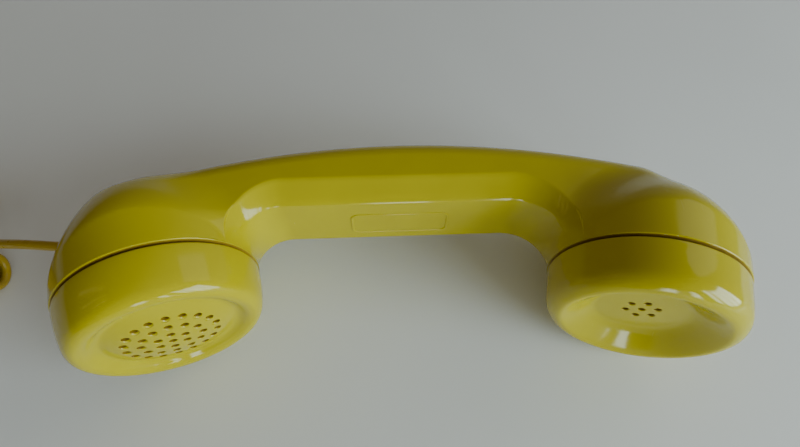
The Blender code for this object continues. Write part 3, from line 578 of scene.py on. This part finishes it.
def cord_vinyl():
    """The cord's softer vinyl, a little darker and duller than the handle."""
    paint = Paint("yellow_vinyl")
    cloud = paint.ranged(paint.noise(60.0, 4.0), 0.35, 0.65, 0.0, 1.0)
    base = paint.mixed(cloud, (0.50, 0.34, 0.004), (0.43, 0.28, 0.003))
    grime = paint.ranged(paint.noise(420.0, 4.0, 0.7), 0.58, 0.75, 0.0, 0.5)
    paint.colour(paint.mixed(grime, base, (0.16, 0.1, 0.015)))
    paint.roughness(paint.ranged(paint.noise(150.0, 4.0), 0.3, 0.7, 0.24, 0.42))
    paint.bumped((paint.noise(700.0, 3.0), 0.15, 0.06))
    paint.fixed(IOR=1.5)
    return paint.material


def metal(name, light, dark, rough_low, rough_high, grain=(40.0, 900.0, 900.0)):
    """Metal with drawn or turned marks, darker where it has tarnished."""
    paint = Paint(name)
    tarnish = paint.ranged(paint.noise(220.0, 5.0, 0.65), 0.4, 0.7, 0.0, 1.0)
    paint.colour(paint.mixed(tarnish, light, dark))
    lines = paint.noise(1.0, 3.0, 0.5, paint.stretched(grain))
    paint.roughness(paint.ranged(lines, 0.3, 0.7, rough_low, rough_high))
    paint.bumped((lines, 0.12, 0.03), (paint.noise(1500.0, 2.0), 0.06, 0.02))
    paint.fixed(Metallic=1.0)
    return paint.material


def dull(name, light, dark, rough_low, rough_high, grain=600.0, height=0.05, **fixed):
    """Plastic, laminate, carbon, cotton or wire covering, by its tones, polish and grain."""
    paint = Paint(name)
    tone = paint.ranged(paint.noise(grain * 0.3, 5.0, 0.6), 0.35, 0.65, 0.0, 1.0)
    paint.colour(paint.mixed(tone, light, dark))
    fine = paint.noise(grain, 4.0, 0.6)
    paint.roughness(paint.ranged(fine, 0.3, 0.7, rough_low, rough_high))
    paint.bumped((fine, 0.25, height))
    paint.fixed(**fixed)
    return paint.material


def woven(name, light, dark):
    """Cotton: two crossing sets of threads with fuzz between them."""
    paint = Paint(name)
    waves = []
    for axis in ("X", "Z"):
        wave = paint.node("TexWave", Scale=900.0, Distortion=1.5, Detail=1.0, bands_direction=axis)
        paint.link(paint.place, wave.inputs["Vector"])
        waves.append(wave.outputs["Fac"])
    threads = paint.maths("MULTIPLY", waves[0], waves[1])
    paint.colour(paint.mixed(threads, dark, light))
    paint.bumped((threads, 0.5, 0.15), (paint.noise(1800.0, 3.0), 0.3, 0.05))
    paint.fixed(Roughness=0.95, Sheen_Weight=0.3)
    return paint.material


MATERIALS = {
    "yellow_moulding": glossy_moulding(),
    "yellow_vinyl": cord_vinyl(),
    "black_moulding": dull("black_moulding", (0.022, 0.021, 0.02), (0.012, 0.012, 0.012), 0.35, 0.6),
    "brown_phenolic": dull("brown_phenolic", (0.2, 0.09, 0.03), (0.11, 0.045, 0.015), 0.4, 0.6, 300.0),
    "steel": metal("steel", (0.56, 0.55, 0.53), (0.4, 0.38, 0.34), 0.25, 0.42),
    "aluminium": metal("aluminium", (0.78, 0.78, 0.79), (0.6, 0.6, 0.6), 0.24, 0.4),
    "brass": metal("brass", (0.72, 0.53, 0.2), (0.45, 0.3, 0.1), 0.22, 0.4),
    "gold_plate": metal("gold_plate", (0.9, 0.68, 0.25), (0.7, 0.48, 0.15), 0.15, 0.3),
    "magnet_iron": metal("magnet_iron", (0.17, 0.17, 0.18), (0.09, 0.09, 0.09), 0.5, 0.7),
    "copper_wire": metal("copper_wire", (0.7, 0.33, 0.17), (0.42, 0.17, 0.08), 0.28, 0.4,
                         (2500.0, 60.0, 2500.0)),
    "carbon": dull("carbon", (0.03, 0.03, 0.03), (0.01, 0.01, 0.01), 0.6, 0.9, 2600.0, 0.3),
    "membrane": dull("membrane", (0.75, 0.7, 0.5), (0.62, 0.55, 0.36), 0.3, 0.5, 500.0, 0.08),
    "cotton": woven("cotton", (0.82, 0.79, 0.72), (0.5, 0.47, 0.4)),
    "wire_red": dull("wire_red", (0.5, 0.03, 0.02), (0.36, 0.02, 0.015), 0.3, 0.5, 800.0, 0.04),
    "wire_black": dull("wire_black", (0.03, 0.03, 0.03), (0.016, 0.016, 0.016), 0.3, 0.5, 800.0, 0.04),
    "wire_white": dull("wire_white", (0.78, 0.77, 0.72), (0.62, 0.6, 0.53), 0.3, 0.5, 800.0, 0.04),
    "wire_green": dull("wire_green", (0.05, 0.3, 0.08), (0.03, 0.2, 0.05), 0.3, 0.5, 800.0, 0.04),
}
SLOTS = {part["node"]: part["material_slot"] for part in frame["record"]["subparts"]}
for node_name, node in frame["nodes"].items():
    node.data.materials.clear()
    node.data.materials.append(MATERIALS[SLOTS[node_name]])
    node.data.polygons.foreach_set("material_index", [0] * len(node.data.polygons))


# ---- handle -------------------------------------------------------------------------------------
def make_handle():
    mesh = loft("handle_shell", handle_rings())
    hole_end = (CORD_EXIT[0] + CORD_HOLE_INSIDE, CORD_EXIT[1], 0.0)
    hole_start = (CORD_EXIT[0] - CORD_HOLE_OUTSIDE, CORD_EXIT[1], 0.0)
    profile = [(CORD_HOLE_RADIUS, d) for d in (0.0, CORD_HOLE_OUTSIDE + CORD_HOLE_INSIDE)]
    mesh = cut_out(mesh, loft("cord_hole", rod_rings(hole_start, hole_end, profile)))
    places, faces = corner_data(mesh)
    normals = field_normals(places)
    on_surface = np.abs(handle_field(*places.T)) < 0.02
    matched = (normals * faces).sum(1) > math.cos(math.radians(40.0))
    set_normals(mesh, np.where((on_surface & matched)[:, None], normals, 0.0))
    # Faces down in each seam's groove, over the neck and into the bore take the painted-shade material.
    painted_shade_faces = np.zeros(len(mesh.polygons), bool)
    for head in (transmitter, receiver):
        across, up, out = face_places(mesh, head)
        painted_shade_faces |= (np.hypot(across, up) < HEAD_RADIUS - 0.9) & (out > -30.0) & (out < 10.0)
    outer = np.abs(handle_field(*face_centres(mesh).T)) < 0.15
    add(mesh, "handle", "yellow_moulding", ["handle"], shaded_recess_moulding(), painted_shade_faces & ~outer)
    for head, name in ((transmitter, "transmitter"), (receiver, "receiver")):
        thread = ridge(name + "_neck_thread", head, NECK_RADIUS - 0.3, NECK_THREAD_TIP,
                       THREAD_START, NECK_THREAD_TURNS)
        add(thread, "handle", "yellow_moulding")


BADGE = {"centre_x": -1.1, "centre_z": -1.4, "half_length": 16.4, "half_height": 5.6,
         "corner": 2.3, "rim": 0.5, "height": 0.42}


def make_badge():
    """A raised, rounded frame on the grip's inner flat, with nothing in it."""
    corner = BADGE["corner"]
    path = []
    for k, (sx, sz) in enumerate(((1, 1), (-1, 1), (-1, -1), (1, -1))):
        for i in range(9):
            angle = math.pi / 2 * (k + i / 8.0)
            path.append((BADGE["centre_x"] + sx * (BADGE["half_length"] - corner)
                         + corner * math.cos(angle),
                         BADGE["centre_z"] + sz * (BADGE["half_height"] - corner)
                         + corner * math.sin(angle)))
    rings = []
    for k in range(len(path)):
        before = Vector(path[k - 1])
        after = Vector(path[(k + 1) % len(path)])
        along = (after - before).normalized()
        side = Vector((along.y, -along.x))
        ring = []
        for i in range(9):
            angle = math.pi * i / 8.0
            reach = BADGE["rim"] * math.cos(angle)
            ring.append((path[k][0] + side.x * reach,
                         INNER_FLAT_Y + 0.1 - BADGE["height"] * math.sin(angle),
                         path[k][1] + side.y * reach))
        rings.append(np.array(ring))
    mesh = smooth(loft("badge_frame", rings, closed=True), 60.0)
    add(mesh, "handle", "yellow_moulding")


# ---- caps -----------------------------------------------------------------------------------------
CAP_SEGMENTS = 180
HOLE_SIDES = 20
HOLE_DEPTH = 5.0              # from the face to the bottom of the tool that cuts a hole
# How much wider the tool is than the hole, and how far from the tool's bottom.
HOLE_FLARE = ((0.0, 0.0), (0.0, 4.72), (0.12, 4.88), (0.42, 5.12), (0.42, 7.0))


def curve_through(points, steps, before=None, after=None):
    """A smooth line through points, with a number of steps between each pair.

    The points before and after it, if given, set its directions at its ends.
    """
    route = [Vector(p) for p in points]
    first = Vector(before) if before else 2 * route[0] - route[1]
    last = Vector(after) if after else 2 * route[-1] - route[-2]
    route = [first] + route + [last]
    line = []
    for a, b, c, d in zip(route, route[1:], route[2:], route[3:]):
        for i in range(steps):
            t = i / steps
            line.append(0.5 * (2 * b + (c - a) * t + (2 * a - 5 * b + 4 * c - d) * t * t
                               + (3 * b - 3 * c + d - a) * t**3))
    line.append(route[-2])
    return line


def turned_normals(line):
    """The outward normal at each point of a (radius, height) line that runs from the skirt in."""
    normals = []
    for k in range(len(line)):
        along = line[min(k + 1, len(line) - 1)] - line[max(k - 1, 0)]
        normals.append(Vector((along.y, -along.x)).normalized())
    return normals


def hole_height(line, radius):
    """The height of the face at a radius, on the part of the line nearest to the axis."""
    for a, b in zip(reversed(line[:-1]), reversed(line[1:])):
        low, high = sorted((a.x, b.x))
        if low <= radius <= high and high > low:
            t = (radius - a.x) / (b.x - a.x)
            return a.y + (b.y - a.y) * t
    return line[-1].y


def make_cap(head, name, face, inside, holes, hole_radius):
    """A screw cap: face is its outer line from the seam to the axis, inside its inner one back.

    Its name is its body's and its CAD node's as well.
    """
    line = curve_through(face, 5)
    profile = [(p.x, p.y) for p in line[:-1]] + [(0.25, line[-1].y), (0.25, inside[0][1])] + inside[1:]
    turn = np.linspace(0.0, 2.0 * math.pi, CAP_SEGMENTS, endpoint=False)
    rings = [head.points(r * np.cos(turn), r * np.sin(turn), h) for r, h in profile]
    mesh = loft(name + "_shell", rings, closed=True)
    cutters = []
    for across, up in holes:
        top = hole_height(line, math.hypot(across, up))
        start = head.points(across, up, top - HOLE_DEPTH)
        end = head.points(across, up, top + 2.0)
        flare = [(hole_radius + wider, distance) for wider, distance in HOLE_FLARE]
        cutters.append(rod_rings(start, end, flare, HOLE_SIDES))
    mesh = cut_out(mesh, joined("cap_holes", cutters))
    shade_turned(mesh, head, line)
    across, up, out = face_places(mesh, head)
    radius = np.hypot(across, up)
    # Hole walls and the inside of the skirt by the seam take the painted-shade material.
    bore = np.zeros(len(mesh.polygons), bool)
    for a, u in holes:
        near = np.hypot(across - a, up - u) < hole_radius + 0.05
        bore |= near & (out < hole_height(line, math.hypot(a, u)) - 0.25)
    inner = (radius < 28.9) & (out < 0.9) | (radius < 27.75) & (out < 8.0)
    add(mesh, name, "yellow_moulding", [name], shaded_recess_moulding(), bore | inner)
    thread = ridge(name + "_thread", head, CAP_THREAD_ROOT, CAP_THREAD_TIP,
                   THREAD_START + THREAD_PITCH / 2, CAP_THREAD_TURNS)
    add(thread, name, "yellow_moulding")


def joined(name, bodies):
    """Several lofts in one mesh."""
    bm = bmesh.new()
    for rings in bodies:
        bm.from_mesh(loft("part", rings))
    mesh = bpy.data.meshes.new(name)
    bm.to_mesh(mesh)
    bm.free()
    return mesh


def shade_turned(mesh, head, line):
    """True normals on the cap's outer face; the rest of it keeps its own."""
    places, faces = corner_data(mesh)
    dx = places[:, 0] - head.x
    dy = places[:, 1] - head.y
    out = dx * head.out[0] + dy * head.out[1]
    across = dx * head.across[0] + dy * head.across[1]
    radius = np.hypot(across, places[:, 2])
    spots = np.array([tuple(p) for p in line])
    slopes = np.array([tuple(n) for n in turned_normals(line)])
    best = np.full(len(radius), 1e9)
    found = np.zeros((len(radius), 2))
    for k in range(len(spots) - 1):
        a, b = spots[k], spots[k + 1]
        span = b - a
        t = ((radius - a[0]) * span[0] + (out - a[1]) * span[1]) / max(span @ span, 1e-12)
        t = np.clip(t, 0.0, 1.0)
        gap = np.hypot(radius - a[0] - t * span[0], out - a[1] - t * span[1])
        normal = slopes[k] * (1.0 - t)[:, None] + slopes[k + 1] * t[:, None]
        nearer = gap < best
        best = np.where(nearer, gap, best)
        found = np.where(nearer[:, None], normal, found)
    safe = np.maximum(radius, 1e-6)
    flat = found[:, 0] * across / safe
    normals = np.stack([flat * head.across[0] + found[:, 1] * head.out[0],
                        flat * head.across[1] + found[:, 1] * head.out[1],
                        found[:, 0] * places[:, 2] / safe], -1)
    normals /= np.maximum(np.linalg.norm(normals, axis=1, keepdims=True), 1e-12)
    good = (best < 0.03) & ((normals * faces).sum(1) > math.cos(math.radians(30.0)))
    set_normals(mesh, np.where(good[:, None], normals, 0.0))


def hole_places(rings, phase_degrees):
    """(across, up) of holes on rings given as (radius, count)."""
    places = []
    for radius, count in rings:
        for i in range(count):
            angle = math.radians(phase_degrees) + 2.0 * math.pi * i / count
            places.append((radius * math.cos(angle), radius * math.sin(angle)))
    return places


SKIRT = [(28.75, 0.45), (29.05, 0.5), (29.25, 0.75), (29.3, 1.2)]


def make_caps():
    face = SKIRT + [(29.2, 3.0), (28.85, 6.0), (28.35, 9.0), (27.9, 11.0), (27.35, 12.7),
                    (26.6, 13.95), (25.7, 14.75), (24.6, 15.15), (23.2, 15.0), (21.9, 14.35),
                    (20.8, 13.45), (19.8, 12.9), (18.8, 12.75), (17.8, 13.05), (16.8, 13.5),
                    (15.6, 13.95), (13.0, 14.75), (6.5, 15.8), (0.25, 16.1)]
    inside = [(0.0, 14.1), (13.0, 12.9), (19.6, 11.4), (23.0, 11.3), (23.0, 7.2), (27.7, 7.2),
              (27.7, 0.75), (28.0, 0.45)]
    make_cap(transmitter, "transmitter_cap", face, inside,
             hole_places([(0.0, 1), (13.0 / 3, 6), (26.0 / 3, 12), (13.0, 18)], 17.4), 1.1)
    face = SKIRT + [(29.2, 3.0), (29.1, 5.5), (28.95, 8.5), (28.65, 11.0), (28.0, 12.8),
                    (26.95, 14.2), (25.7, 15.1), (24.6, 15.5), (23.6, 15.5), (22.6, 15.05),
                    (21.0, 14.0), (18.4, 12.1), (16.0, 10.4), (13.9, 9.45), (11.0, 9.3),
                    (6.5, 9.3), (0.25, 9.3)]
    inside = [(0.0, 7.6), (12.5, 7.6), (16.0, 8.7), (18.4, 10.4), (22.5, 13.2), (23.0, 7.2),
              (27.7, 7.2), (27.7, 0.75), (28.0, 0.45)]
    make_cap(receiver, "receiver_cap", face, inside,
             hole_places([(0.0, 1), (4.6, 6)], 30.3), 1.0)


# ---- cord -----------------------------------------------------------------------------------------
# Heights in this part are above the floor.
COIL_RADIUS = 5.65            # of the wire's middle line
COIL_HEIGHT = 7.35
COIL_Y = 21.9
COIL_START_X = -149.8
COIL_START_PHASE = math.radians(215.0)
COIL_END_X = -169.6
COIL_BEND_X = -255.0
COIL_BEND_RADIUS = 14.0
FLOOR_CORD_HEIGHT = 1.65
PITCH = 3.3
BEND_PITCH = 5.5
TURN_POINTS = 24
TAIL_Y = COIL_Y + 2.0 * COIL_BEND_RADIUS
RELIEF_START = (-219.0, 66.2)
RELIEF_HEIGHT = 3.3
TAIL_WIRE_RADIUS = 0.7
BEND_EASE = 8.0               # the run over which the turns open before the bend
END_PHASE_ERROR = 0.15
LEAD_ROUTE = [
    (-103.5, 19.0, 29.45),
    (-107.9, 19.0, 29.45),
    (-115.0, 19.5, 29.3),
    (-123.0, 20.8, 28.3),
    (-131.0, 22.4, 26.5),
    (-138.5, 24.3, 23.6),
    (-144.0, 25.9, 20.9),
    (-148.4, 25.3, 17.7),
    (-149.9, 22.1, 14.6),
]
TAIL_ROUTE = [
    (-171.2, 53.9, 12.5),
    (-171.2, 57.3, 10.5),
    (-171.6, 59.6, 8.2),
    (-172.8, 62.4, 5.3),
    (-175.6, 65.0, 3.0),
    (-180.2, 66.5, 1.9),
    (-187.0, 66.9, FLOOR_CORD_HEIGHT),
    (-197.0, 66.5, FLOOR_CORD_HEIGHT),
    (-207.5, 66.2, 2.4),
    (RELIEF_START[0], RELIEF_START[1], RELIEF_HEIGHT),
]


def coil_middle(distance):
    """A point of the coil's middle line and its direction, at a distance from its start."""
    first = COIL_START_X - COIL_BEND_X
    bend = math.pi * COIL_BEND_RADIUS
    if distance <= first:
        return Vector((COIL_START_X - distance, COIL_Y, COIL_HEIGHT)), Vector((-1.0, 0.0, 0.0))
    if distance <= first + bend:
        angle = (distance - first) / COIL_BEND_RADIUS
        place = Vector((COIL_BEND_X - COIL_BEND_RADIUS * math.sin(angle),
                        COIL_Y + COIL_BEND_RADIUS * (1.0 - math.cos(angle)), COIL_HEIGHT))
        return place, Vector((-math.cos(angle), math.sin(angle), 0.0))
    rest = distance - first - bend
    return Vector((COIL_BEND_X + rest, TAIL_Y, COIL_HEIGHT)), Vector((1.0, 0.0, 0.0))


def coil_points():
    """The helix: close turns on the straight runs, opened by the bend; it ends at its top."""
    first = COIL_START_X - COIL_BEND_X
    bend = math.pi * COIL_BEND_RADIUS
    total = first + bend + COIL_END_X - COIL_BEND_X
    points = []
    distance = 0.0
    phase = COIL_START_PHASE
    while (distance < total - PITCH
           or abs(math.remainder(phase - math.pi, 2.0 * math.pi)) > END_PHASE_ERROR):
        near = float(smoothstep((distance - first + BEND_EASE) / BEND_EASE)
                     * smoothstep((first + bend + BEND_EASE - distance) / BEND_EASE))
        pitch = PITCH + (BEND_PITCH - PITCH) * near
        centre, along = coil_middle(distance)
        side = Vector((along.y, -along.x, 0.0))
        points.append(centre + side * COIL_RADIUS * math.sin(phase)
                      + Vector((0.0, 0.0, -COIL_RADIUS * math.cos(phase))))
        phase += 2.0 * math.pi / TURN_POINTS
        distance += pitch / TURN_POINTS
    return points


def smooth_route(points, spacing, before=None, after=None):
    """Evenly spaced points on a smooth line through the given ones."""
    fine = curve_through(points, 24, before, after)
    lengths = [0.0]
    for a, b in zip(fine, fine[1:]):
        lengths.append(lengths[-1] + (b - a).length)
    count = max(2, round(lengths[-1] / spacing))
    marks = [lengths[-1] * i / count for i in range(count + 1)]
    return [Vector([float(np.interp(m, lengths, [p[k] for p in fine])) for k in range(3)])
            for m in marks]


def wire_curve(name, points, radius, slot):
    """A round wire along points of the drawing, which rides on the handle."""
    curve = bpy.data.curves.new(name, "CURVE")
    curve.dimensions = "3D"
    curve.bevel_depth = radius * MM
    curve.bevel_resolution = 4
    curve.use_fill_caps = True
    spline = curve.splines.new("POLY")
    spline.points.add(len(points) - 1)
    for point, place in zip(spline.points, points_on_floor(points)):
        point.co = (*place, 1.0)
    spline.use_smooth = True
    made = bpy.data.objects.new(name, curve)
    bpy.context.scene.collection.objects.link(made)
    curve.materials.append(MATERIALS[slot])
    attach(made, "handle")
    return made


def points_on_floor(points):
    """Row-frame places of points whose Z is a height above the floor."""
    lifted = np.asarray([tuple(p) for p in points], float)
    lifted[:, 2] -= CENTRE_HEIGHT
    return row(lifted)


def make_cord():
    coil = coil_points()
    lead = smooth_route(LEAD_ROUTE + [coil[0]], 1.5, after=coil[0] + (coil[1] - coil[0]) * 2.5)
    tail = smooth_route([coil[-1]] + TAIL_ROUTE, 1.5, before=coil[-1] + (coil[-2] - coil[-1]) * 2.5)
    points = lead[:-1] + coil + tail[1:]
    length = sum((b - a).length for a, b in zip(points, points[1:]))
    cord = wire_curve("cord_wire", points, CORD_RADIUS, "yellow_vinyl")
    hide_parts("cord_lead", "cord_coil", "cord_tail")
    return cord, length


def make_far_end():
    """The strain relief, and the four wires with their fork lugs."""
    x, y = RELIEF_START
    start = (x + 0.4, y, RELIEF_HEIGHT - CENTRE_HEIGHT)
    end = (x - 20.0, y, RELIEF_HEIGHT - CENTRE_HEIGHT)
    profile = [(1.75, 0.0), (2.25, 0.15), (2.4, 0.5)]
    for i in range(6):
        base = 1.4 + 1.7 * i
        body = 2.35 + 0.09 * i
        profile += [(body, base), (body + 0.4, base + 0.35), (body + 0.4, base + 0.95),
                    (body, base + 1.3)]
    profile += [(2.95, 12.0), (3.1, 12.6), (3.1, 15.9), (2.9, 16.5), (2.4, 16.9), (0.3, 17.0)]
    mesh = smooth(loft("cord_relief_ribbed", rod_rings(start, end, profile, 40)), 35.0)
    made = [add(mesh, "handle", "black_moulding", ["cord_relief"])]
    for colour, spread, lift in (("red", -9.0, 0.8), ("green", -3.0, -0.8), ("black", 3.0, -0.8),
                                 ("white", 9.0, 0.8)):
        first = (x - 16.3, y + math.copysign(0.8, spread), RELIEF_HEIGHT + lift)
        tip = Vector((x - 42.0 + abs(spread) * 0.4, y + spread, 0.8))
        route = [first, (x - 23.0, y + spread * 0.4, 2.4 + lift), (x - 31.0, y + spread * 0.8, 1.1),
                 (tip.x + 2.0, tip.y, 0.85), tuple(tip)]
        wire = wire_curve("tail_wire_" + colour + "_round", smooth_route(route, 0.8),
                          TAIL_WIRE_RADIUS, "wire_" + colour)
        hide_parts("tail_wire_" + colour)
        lug = make_lug("tail_lug_" + colour + "_crimped", tip, "tail_lug_" + colour)
        made += [wire, lug]
    return made


def make_lug(name, tip, node):
    """A fork lug with a rolled barrel that grips the wire's end."""
    half_plate = [(8.6, 1.1), (5.6, 1.2), (4.4, 2.6), (0.4, 2.6), (0.2, 2.4), (0.2, 1.6), (0.4, 1.5),
                  (3.4, 1.5), (4.0, 0.8)]
    outline = half_plate + [(a, -b) for a, b in reversed(half_plate)]
    bm = bmesh.new()
    height = 0.45
    left = tip.x - 9.4
    spots = [bm.verts.new(row([left + a, tip.y + b, height - CENTRE_HEIGHT])) for a, b in outline]
    plate = bm.faces.new(spots)
    grown = bmesh.ops.extrude_face_region(bm, geom=[plate])
    moved = [v for v in grown["geom"] if isinstance(v, bmesh.types.BMVert)]
    bmesh.ops.translate(bm, verts=moved, vec=(0.0, 0.0, 0.35 * MM))
    bmesh.ops.recalc_face_normals(bm, faces=bm.faces)
    rim = [e for e in bm.edges if e.is_manifold and e.calc_face_angle() > 1.0]
    bmesh.ops.bevel(bm, geom=rim, offset=0.06 * MM, segments=2, profile=0.5, affect="EDGES")
    barrel_start = (tip.x - 2.0, tip.y, 0.95 - CENTRE_HEIGHT)
    barrel_end = (tip.x + 4.0, tip.y, 0.95 - CENTRE_HEIGHT)
    barrel = [(0.78, 0.0), (1.0, 0.08), (1.05, 0.4), (0.9, 1.2), (0.9, 2.2), (1.05, 3.0), (1.0, 3.4),
              (0.74, 3.5)]
    bm.from_mesh(loft("barrel", rod_rings(barrel_start, barrel_end, barrel, 24)))
    mesh = bpy.data.meshes.new(name)
    bm.to_mesh(mesh)
    bm.free()
    return add(smooth(mesh, 35.0), "handle", "steel", [node])


# ---- stage ------------------------------------------------------------------------------------------
CAMERA_PLACE = (-6.917, -59.83, 142.442)   # from the drawing's origin
CAMERA_TURN = (0.5343559, -0.0154643, -0.0436885)
CAMERA_LENS = 21.6
CAMERA_SENSOR = 36.0
FLOOR_SIZE = 6.0              # metres
ROOM_LIGHT = 0.42
ROOM_LEFT = (0.21, 0.14, 0.055, 1.0)
ROOM_RIGHT = (0.72, 0.74, 0.70, 1.0)
PANE_LIGHT = 27.0             # watts for each square metre
PANE_DISTANCE = 0.95
PANE_COLOUR = (0.80, 0.97, 1.0)
STRIP_LIGHT = 0.06            # watts for each strip
STRIP_DISTANCE = 1.4
STRIP_COLOUR = (1.0, 0.92, 0.7)
# Azimuth and elevation in degrees, width and height in metres.
PANES = ((-17.0, 20.0, 0.17, 0.52), (-29.0, 20.0, 0.17, 0.52), (-41.0, 20.0, 0.17, 0.52),
         (-53.0, 20.0, 0.10, 0.52), (-71.5, 12.0, 0.09, 0.34), (-88.0, 9.0, 0.14, 0.27))
ROOM_STRIPS = ((-178.0, 34.0, 0.05, 0.7), (-170.0, 34.0, 0.05, 0.7), (-162.0, 40.0, 0.05, 0.5))


def make_camera():
    data = bpy.data.cameras.new("camera")
    data.lens = CAMERA_LENS
    data.sensor_width = CAMERA_SENSOR
    data.clip_start = 0.005
    camera = bpy.data.objects.new("camera", data)
    bpy.context.scene.collection.objects.link(camera)
    camera.location = row(CAMERA_PLACE)
    camera.rotation_euler = CAMERA_TURN
    bpy.context.scene.camera = camera


def make_floor():
    bpy.ops.mesh.primitive_plane_add(size=FLOOR_SIZE)
    floor = bpy.context.object
    floor.name = "floor"
    paint = Paint("paper")
    cloud = paint.ranged(paint.noise(6.0, 3.0), 0.35, 0.65, 0.0, 1.0)
    paint.colour(paint.mixed(cloud, (0.84, 0.84, 0.84), (0.81, 0.81, 0.81)))
    paint.bumped((paint.noise(1400.0, 4.0, 0.6), 0.12, 0.05))
    paint.fixed(Roughness=0.75)
    floor.data.materials.append(paint.material)


def area_light(name, place, width, height, power, colour):
    """A rectangular light at a place, turned to the handset."""
    data = bpy.data.lights.new(name, "AREA")
    data.shape = "RECTANGLE"
    data.size = width
    data.size_y = height
    data.energy = power
    data.color = colour
    light = bpy.data.objects.new(name, data)
    bpy.context.scene.collection.objects.link(light)
    light.location = place
    light.rotation_euler = (-Vector(place)).to_track_quat("-Z", "Y").to_euler()


def around(azimuth, elevation, distance):
    """A place at a direction in degrees and a distance in metres from the handset."""
    a = math.radians(azimuth)
    e = math.radians(elevation)
    return Vector((math.cos(e) * math.cos(a), math.cos(e) * math.sin(a), math.sin(e))) * distance


def make_lights():
    """Window panes in front and to the right, faint strips at the left, and a dim room."""
    world = bpy.data.worlds.new("room")
    bpy.context.scene.world = world
    world.use_nodes = True
    tree = world.node_tree
    place = tree.nodes.new("ShaderNodeTexCoord").outputs["Generated"]
    split = tree.nodes.new("ShaderNodeSeparateXYZ")
    tree.links.new(place, split.inputs[0])
    ramp = tree.nodes.new("ShaderNodeMapRange")
    ramp.inputs["From Min"].default_value = -0.9
    ramp.inputs["From Max"].default_value = 0.9
    tree.links.new(split.outputs["X"], ramp.inputs["Value"])
    mix = tree.nodes.new("ShaderNodeMix")
    mix.data_type = "RGBA"
    mix.inputs[6].default_value = ROOM_LEFT
    mix.inputs[7].default_value = ROOM_RIGHT
    tree.links.new(ramp.outputs["Result"], mix.inputs["Factor"])
    background = tree.nodes["Background"]
    tree.links.new(mix.outputs[2], background.inputs["Color"])
    background.inputs["Strength"].default_value = ROOM_LIGHT
    for k, (azimuth, elevation, width, height) in enumerate(PANES):
        area_light(f"window_pane_{k}", around(azimuth, elevation, PANE_DISTANCE), width, height,
                   PANE_LIGHT * width * height, PANE_COLOUR)
    for k, (azimuth, elevation, width, height) in enumerate(ROOM_STRIPS):
        area_light(f"room_strip_{k}", around(azimuth, elevation, STRIP_DISTANCE), width, height,
                   STRIP_LIGHT, STRIP_COLOUR)
    area_light("right_wall", around(28.0, 40.0, 1.5), 0.8, 0.8, 1.2, (1.0, 0.99, 0.95))


make_camera()
cord, cord_length = make_cord()
far_end = make_far_end()
make_handle()
make_badge()
make_caps()
make_floor()
make_lights()
